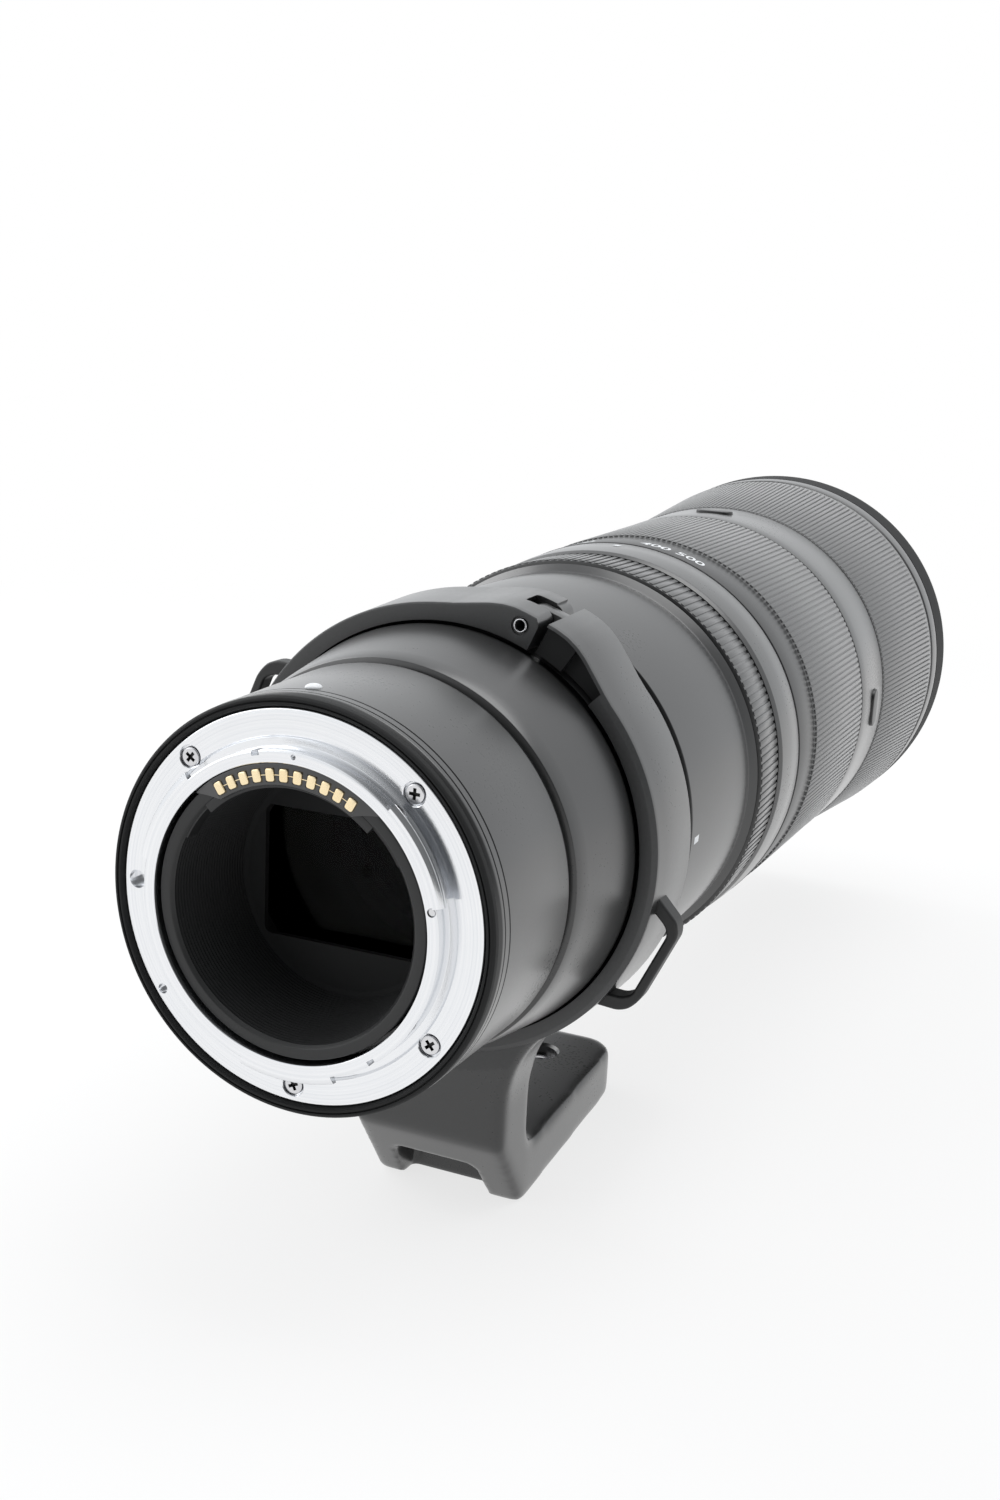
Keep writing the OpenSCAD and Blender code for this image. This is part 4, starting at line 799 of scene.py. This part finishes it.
def lockLug(low, high, holeR, holeLow):
    k = lock
    near, far = k["y"] - k["lugWide"], k["y"] + k["lugWide"]
    outline = [(k["lugIn"], near), (k["lugTop"], near, 4.5), (k["lugTop"], far, 4.5), (k["lugIn"], far)]
    lug = slab(outline, low, high, "z", rounding=0.7)
    hole = rod(holeR, (k["r"], k["y"], holeLow), (k["r"], k["y"], 6))
    return carve(turn(lug, collar["split"]), turn(hole, collar["split"]))


foot = {"rear": 52.6, "neckFront": 66.6, "neckTop": -52, "shoulder": (69.2, -46), "inCollar": -30,
        "end": 127.1, "top": -68.5, "bottom": -80.0, "half": 16.5, "halfFront": 14.3, "heelY": 64.6,
        "heelZ": -63.0, "flareFrom": -54.5, "flareRadius": 24.0, "notch": (-10.0, 8.8), "notchDepth": 16.5,
        "notchTop": -70.0, "notchLean": 0.6, "wear": 26, "seatR": 42.2, "sockets": (90.6, 112.6),
        "socketR": 5.05, "socketDepth": 9.05, "through": 4.2,
        "insert": [(5.0, 0.05), (5.0, 9.0), (3.175, 9.0)], "insertEnd": [(3.175, 1.0), (3.6, 0.05)],
        "threadTurns": 6, "threadPitch": 1.27}


def makeFoot():
    t = foot
    low, high, up = t["bottom"], t["top"], t["inCollar"]
    shoulder = t["shoulder"]
    side = slab([(t["rear"], up), (t["rear"], t["heelZ"]), (t["heelY"], low), (t["end"], low),
                 (t["end"], high), (t["neckFront"], high, 6.0), (t["neckFront"], t["neckTop"], 5.0),
                 shoulder, (shoulder[0], up)], -30, 30, "x")
    wide, narrow = t["half"], t["halfFront"]
    plan = slab([(-wide, t["rear"] - 5), (-wide, t["neckFront"]), (-narrow, t["end"], 7.5),
                 (narrow, t["end"], 7.5), (wide, t["neckFront"]), (wide, t["rear"] - 5)], -90, -20, "z")
    shape = carve(side, plan, operation="INTERSECT")
    arc = []
    for i in range(9):  # the neck spreads into the collar
        a = math.radians(6 * i)
        arc.append((wide + t["flareRadius"] * (1 - math.cos(a)),
                    t["flareFrom"] + t["flareRadius"] * math.sin(a)))
    flare = slab(arc + [(-x, z) for x, z in arc[::-1]], t["rear"], t["neckFront"], "y")
    shape = melt(join(shape, flare), 0.7, t["wear"])
    (n0, n1), lean = t["notch"], t["notchLean"]
    notch = slab([(n0 - lean, -90), (n0, t["notchTop"], 2.6), (n1, t["notchTop"], 2.6), (n1 + lean, -90)],
                 t["rear"] - 6, t["rear"] + t["notchDepth"], "y")
    shape = melt(carve(shape, notch), 0.6, 4)
    away = turn(box((0, 40, -60), (70, 80, lock["gap"])), collar["split"])
    tools = [away, rod(t["seatR"], (0, 30, 0), (0, 140, 0), 240)]
    for y in t["sockets"]:
        tools.append(rod(t["socketR"], (0, y, low - 2), (0, y, low + t["socketDepth"]), 48))
        tools.append(rod(t["through"], (0, y, low - 1), (0, y, high + 2), 48))
        tools.append(rod(t["through"] - 0.1, (0, y, high - 0.7), (0, y, high + 0.4), 48, t["through"] + 1))
    return carve(shape, *tools)


# faces turned to the rear; they take the lighter paint, which is partly painted light
def rearFace(spot, normal):
    return normal.y < -0.4 and spot.y < collar["rear"] + 1.2 and math.hypot(spot.x, spot.z) < 48


def inHollow(spot, normal):  # the hollow behind the hump is left unpolished
    out = Vector((spot.x, 0, spot.z)).normalized()
    return (43.5 < math.degrees(math.atan2(spot.z, spot.x)) < 66.8 and 0.2 < spot.y - collar["rear"] < 6.2
            and normal.dot(out) < 0.3)


def makeCollarBase():
    c, k = collar, lock
    g0, g1 = c["armGap"]
    start = c["split"] + c["splitGap"] - 360
    ring = collarRing(start, c["baseEnd"] - start, c["baseHump"], 1.0)
    tools = [hingeRod(c["clear"], c["rear"] - 1, g0 + 0.4), hingeRod(c["clear"], g1 - 0.4, c["front"] + 1)]
    edge, low = c["rearR"] - c["wall"], c["rear"] - 1
    for start, sweep, depth in c["hollows"]:  # hollow behind the hump, open to the inside
        high = c["rear"] + depth
        outline = [(c["hollowIn"], low), (edge, low), (edge, high), (c["hollowIn"], high)]
        tools.append(swell(lathe(outline, 12, start, sweep), c["baseHump"]))
    ring = carve(ring, *tools)
    knuckle = slab(c["knuckleSide"], *c["knuckle"], "y", rounding=0.3)
    knuckle = carve(turn(knuckle, c["hinge"]), hingeRod(c["pinHole"]))
    lug = lockLug(k["gap"], k["lugThick"], k["threadR"], -2)
    whole = join(ring, knuckle, lug, makeFoot())
    piece = place(whole, "collarBase", "collar", collarBlack, ["collar_base"], 0.55)
    paintFaces(piece, castEdgeAndPaintedLight, rearFace)
    paintFaces(piece, throatBlack, inHollow)


def makeCollarArm():
    c, k = collar, lock
    g0, g1 = c["armGap"]
    ring = collarRing(c["tip"], c["split"] - c["splitGap"] - c["tip"], c["armHump"], 0.3)
    window = turn(box((41.6, g0, -9), (54, g1, 3.3), 0.5), c["hinge"])
    below = turn(box((38, g0, -9), (42.5, g1, 0.5)), c["hinge"])
    ring = carve(ring, hingeRod(c["clear"], g0, g1), window, below, *tipCorners(), hingeRod(c["armHole"]),
                 hingeRod(c["armSink"], 40, c["rear"] + 0.4))
    lug = lockLug(-k["lugThick"], -k["gap"], k["holeR"], -12)
    whole = join(ring, lug)
    piece = place(whole, "collarArm", "collar_arm", collarBlack, ["collar_arm"], 0.55)
    paintFaces(piece, castEdgeAndPaintedLight, rearFace)


def makeHingePin():
    c = collar
    pin = turn(shift(lathe(c["pin"], 40), x=c["pinR"]), c["hinge"])
    piece = place(pin, "hingePin", "collar", steel, ["collar_hinge_pin"])
    axis = turnTo(c["hinge"]) @ Vector((c["pinR"], 0, 0))

    # the bore of the steel pin takes the black flock finish as painted shade in the hole
    def inBore(spot, normal):
        return math.hypot(spot.x - axis.x, spot.z - axis.z) < 1.0

    paintFaces(piece, throatBlack, inBore)


def makeInserts():
    t = foot
    thread = []
    for i in range(t["threadTurns"]):
        thread += [(3.175, 8.6 - i * t["threadPitch"]), (3.55, 8.0 - i * t["threadPitch"])]
    upright = Matrix.Rotation(math.pi / 2, 3, "X")
    inserts = []
    for y in t["sockets"]:
        insert = lathe(t["insert"] + thread + t["insertEnd"], 48)
        bmesh.ops.rotate(insert, verts=insert.verts, cent=(0, 0, 0), matrix=upright)
        inserts.append(shift(insert, y=y, z=t["bottom"]))
    place(join(*inserts), "threadInserts", "collar", steel, ["foot_thread_inserts"])


lugs = {
    "sides": {"right": ("collar", -25.0), "left": ("collar_arm", 157.5)}, "low": 55.6, "high": 59.6,
    "outer": [(41.6, -13), (47.0, -11.0, 1.6), (48.9, -7.8, 2.2), (48.9, 8.4, 1.0), (47.4, 10.6, 0.8),
              (41.6, 13)],
    "inner": [(40, -10.6), (45.6, -8.4, 0.7), (47.0, -6.8, 0.7), (47.0, 7.2, 0.7), (45.8, 8.6, 0.7),
              (40, 10.8)],
}


def makeLugs():
    g = lugs
    for side, (body, angle) in g["sides"].items():
        outer = slab(g["outer"], g["low"], g["high"], "y")
        loop = turn(carve(outer, slab(g["inner"], g["low"] - 2, g["high"] + 2, "y")), angle)
        place(loop, "strapLug." + side, body, plastic, ["strap_lug_" + side], 0.6, 0.5)


def makeLockKnob():
    k = lock
    top = -k["lugThick"] - k["knobGap"]
    low = top - k["knobLen"]
    knob = rod(k["knobR"], (0, 0, low), (0, 0, top), 144, rounding=0.9)
    tools = []
    for i in range(k["flutes"]):
        a = 2 * math.pi * i / k["flutes"]
        x, y = (k["knobR"] + 0.5) * math.cos(a), (k["knobR"] + 0.5) * math.sin(a)
        tools.append(rod(k["fluteR"], (x, y, low - 1), (x, y, top - 1.6), 20))
    dish = rod(k["dishR"], (0, 0, low - 1), (0, 0, low + 0.7), 60, k["dishFloor"])
    knob = carve(carve(knob, *tools), dish)
    stem = rod(k["screwR"], (0, 0, top - 1), (0, 0, k["screwEnd"]), 36, rounding=0.3)
    whole = turn(shift(join(knob, stem), x=k["r"], y=k["y"]), collar["split"])
    place(whole, "lockKnob", "lock_knob", plastic, ["lock_knob"], 0.5)


makeCollarBase()
makeCollarArm()
makeHingePin()
makeInserts()
makeLugs()
makeLockKnob()
print("collar made")


# Switch panel and printed marks

panel = {"plate": [(43.05, 75.9), (44.3, 75.9, 0.4), (44.3, 107.9, 0.4), (43.05, 107.9)],
         "start": 163, "sweep": 34, "middle": 180,
         "switches": {"focus_mode_switch": ("focusModeSwitch", 81.9),
                      "focus_limit_switch": ("focusLimitSwitch", 93.9)},
         "long": 5.0, "half": 2.0, "travel": 3.0, "play": 0.3, "base": 43.2, "top": 45.45, "cutLow": 45.1,
         "cutHalf": 0.25}


def makePanel():
    p = panel
    wells = []
    for name, y in p["switches"].values():
        low, high, half = y - p["play"], y + p["long"] + p["travel"] + p["play"], p["half"] + p["play"]
        well = slab([(low, -half, 0.6), (high, -half, 0.6), (high, half, 0.6), (low, half, 0.6)], 42, 47, "x")
        wells.append(turn(well, p["middle"]))
    plate = carve(lathe(p["plate"], 40, p["start"], p["sweep"]), *wells)
    place(plate, "switchPanel", "barrel", plastic, ["switch_panel"])
    for node, (name, y) in p["switches"].items():
        knob = box((p["base"], y, -p["half"]), (p["top"], y + p["long"], p["half"]), 0.3)
        cuts = []
        for i in range(1, 5):  # ribs for the thumb
            middle = y + p["long"] * i / 5
            cuts.append(box((p["cutLow"], middle - p["cutHalf"], -3), (47, middle + p["cutHalf"], 3)))
        place(turn(carve(knob, *cuts), p["middle"]), name, node, plastic, [node])


marks = {"dots": {"mountDot": (92.4, 35.68, 6.7, 1.45, 0.45), "indexDot": (89.5, 46.70, 143.2, 1.0, 0.05)},
         "tick": ((-0.7, -1.4, -0.1), (0.7, 1.4, 0.02), 0.01), "tickAt": (-2, 43.0, 80.0),
         "numbers": {"200": 128, "300": 105, "400": 81.5, "500": 70.5}, "numberR": 46.93, "numberY": 150.6,
         "numberSize": 5.0, "numberRise": 0.03, "numberWeight": 0.06}


def wrapMark(bm, angle, radius, y):  # bends flat artwork, x to the right and y forward, round the barrel
    for v in bm.verts:
        turned = math.radians(angle) - v.co.x / radius
        r = radius + v.co.z
        v.co = Vector((r * math.cos(turned), y + v.co.y, r * math.sin(turned)))
    return bm


def makeMarks():
    m = marks
    for name, (angle, radius, y, size, dome) in m["dots"].items():
        dot = bmesh.new()
        bmesh.ops.create_uvsphere(dot, u_segments=32, v_segments=16, radius=size)
        bmesh.ops.scale(dot, vec=(1, 1, dome), verts=dot.verts)
        place(wrapMark(dot, angle, radius, y), name, "barrel", whiteMark)
    place(wrapMark(box(*m["tick"]), *m["tickAt"]), "collarTick", "barrel", whiteMark)
    for figures, angle in m["numbers"].items():
        curve = bpy.data.curves.new("scaleNumber", "FONT")
        curve.body = figures
        curve.size = m["numberSize"]
        curve.extrude = m["numberRise"]
        curve.offset = m["numberWeight"]
        curve.align_x = "CENTER"
        holder = show("scaleNumber", curve)
        bm = settled(holder)
        bpy.data.batch_remove([holder, curve])
        bmesh.ops.triangulate(bm, faces=bm.faces)
        wrapMark(bm, angle, m["numberR"], m["numberY"])
        place(bm, "scaleNumber." + figures, "zoom_ring", whiteMark)


makePanel()
makeMarks()
print("panel and marks made")


# Inner pieces keep their CAD shape and get a finish

inner = {
    innerMetal: ["support_tube", "variator_cell", "compensator_cell", "focus_cell"] +
                ["aperture_blade_%d" % i for i in range(1, 10)],
    innerBright: ["guide_barrel", "cam_barrel", "aperture_ring"],
    plastic: ["aperture_base", "vr_yaw_frame", "vr_lens_cell"],
    steel: ["focus_rods", "focus_motor"],
    board: ["main_board"],
    innerGlass: ["variator_elements", "compensator_elements", "focus_elements", "vr_elements"],
}


def dressInner():
    for finish, names in inner.items():
        for name in names:
            for holder in nodes[name].material_slots:
                holder.material = finish


dressInner()
print("inner pieces dressed")


# Floor, light and camera; these sizes are in metres

studio = {
    "floorZ": -0.080, "floorSize": 6.0, "floorTone": 0.86, "floorGlow": 0.75, "floorFade": (0.35, 0.9),
    "worldLight": 0.9, "airTint": (0.965, 0.982, 1, 1),
    "shades": (((0.476, -0.813, 0.336), 0.55, 0.93, 0.18), ((0.399, 0.848, 0.349), 0.7, 0.97, 0.95)),
    "lamps": (("topBox", (0.25, 0.25, 0.95), (0, 0.12, 0), 0.9, 4.8),
              ("sideBox", (-0.85, 0.20, 0.55), (0, 0.10, 0), 0.8, 4.0),
              ("rearBox", (-0.75, -0.70, 0.35), (0, 0.0, 0), 0.6, 1.2)),
}


def makeFloor():  # paper that keeps the shadow but glows towards the camera
    s = studio
    bm = bmesh.new()
    bmesh.ops.create_grid(bm, x_segments=1, y_segments=1, size=s["floorSize"] / 2)
    shift(bm, z=s["floorZ"])
    floor = show("floor", toMesh(bm, "floor"))
    material, f = newFinish("floorPaper")
    floor.data.materials.append(material)
    where = f.node("ShaderNodeTexCoord", out="Object")
    away = f.node("ShaderNodeVectorMath", {"operation": "LENGTH"}, {0: where}, "Value")
    near, end = s["floorFade"]
    far = f.node("ShaderNodeMapRange", {"clamp": True}, {"Value": away, "From Min": near, "From Max": end})
    seen, mirrored = f.rays()
    paper = f.node("ShaderNodeBsdfDiffuse", {}, {"Color": grey(s["floorTone"])})
    white = f.node("ShaderNodeEmission", {}, {"Strength": 1.0})
    glow = (seen + mirrored) * (s["floorGlow"] + far * (1 - s["floorGlow"]))
    mixed = f.node("ShaderNodeMixShader", {}, {0: glow, 1: paper, 2: white})
    f.node("ShaderNodeOutputMaterial", {}, {"Surface": mixed})


def makeWorld():  # white all round, darker in the directions that are shaded
    s = studio
    world = bpy.data.worlds.new("studio")
    bpy.context.scene.world = world
    world.use_nodes = True
    w = Finish(world.node_tree)
    where = w.node("ShaderNodeTexCoord", out="Generated")
    smooth = {"clamp": True, "interpolation_type": "SMOOTHSTEP"}
    kept = []
    for direction, edge, core, left in s["shades"]:
        facing = w.node("ShaderNodeVectorMath", {"operation": "DOT_PRODUCT"},
                        {0: where, 1: direction}, "Value")
        kept.append(w.node("ShaderNodeMapRange", smooth, {"Value": facing, "From Min": edge, "From Max": core,
                                                          "To Min": 1.0, "To Max": left}))
    shade = kept[0] * kept[1]
    seen, mirrored = w.rays()
    soft = (1 - seen) * (1 - mirrored)
    strength = seen + mirrored * (1 - seen) * shade + soft * shade * s["worldLight"]
    colour = w.blend(seen, s["airTint"], (1, 1, 1, 1))
    back = w.node("ShaderNodeBackground", {}, {"Color": colour, "Strength": strength})
    w.node("ShaderNodeOutputWorld", {}, {"Surface": back})


def makeLamps():
    for name, spot, target, size, power in studio["lamps"]:
        light = bpy.data.lights.new(name, "AREA")
        light.shape = "DISK"
        light.size = size
        light.energy = power
        lamp = show(name, light)
        lamp.location = spot
        lamp.rotation_euler = (Vector(target) - Vector(spot)).to_track_quat("-Z", "Y").to_euler()


view = {"place": (0.12738, -0.21771, 0.08970), "right": (0.9140, 0.4029, 0.0479),
        "down": (0.1386, -0.1990, -0.9702), "ahead": (-0.3814, 0.8933, -0.2377), "lens": 39.22}


def makeCamera():
    data = bpy.data.cameras.new("photoView")
    data.lens = view["lens"]
    data.sensor_width = 36.0
    data.clip_start = 0.01
    camera = show("photoView", data)
    columns = [Vector(view["right"]), -Vector(view["down"]), -Vector(view["ahead"])]
    matrix = Matrix.Identity(4)
    for i, column in enumerate(columns):
        for j in range(3):
            matrix[j][i] = column[j]
    matrix.translation = Vector(view["place"])
    camera.matrix_world = matrix
    bpy.context.scene.camera = camera
    bpy.context.scene.view_settings.view_transform = "Standard"


makeFloor()
makeWorld()
makeLamps()
makeCamera()
print("studio and camera made")
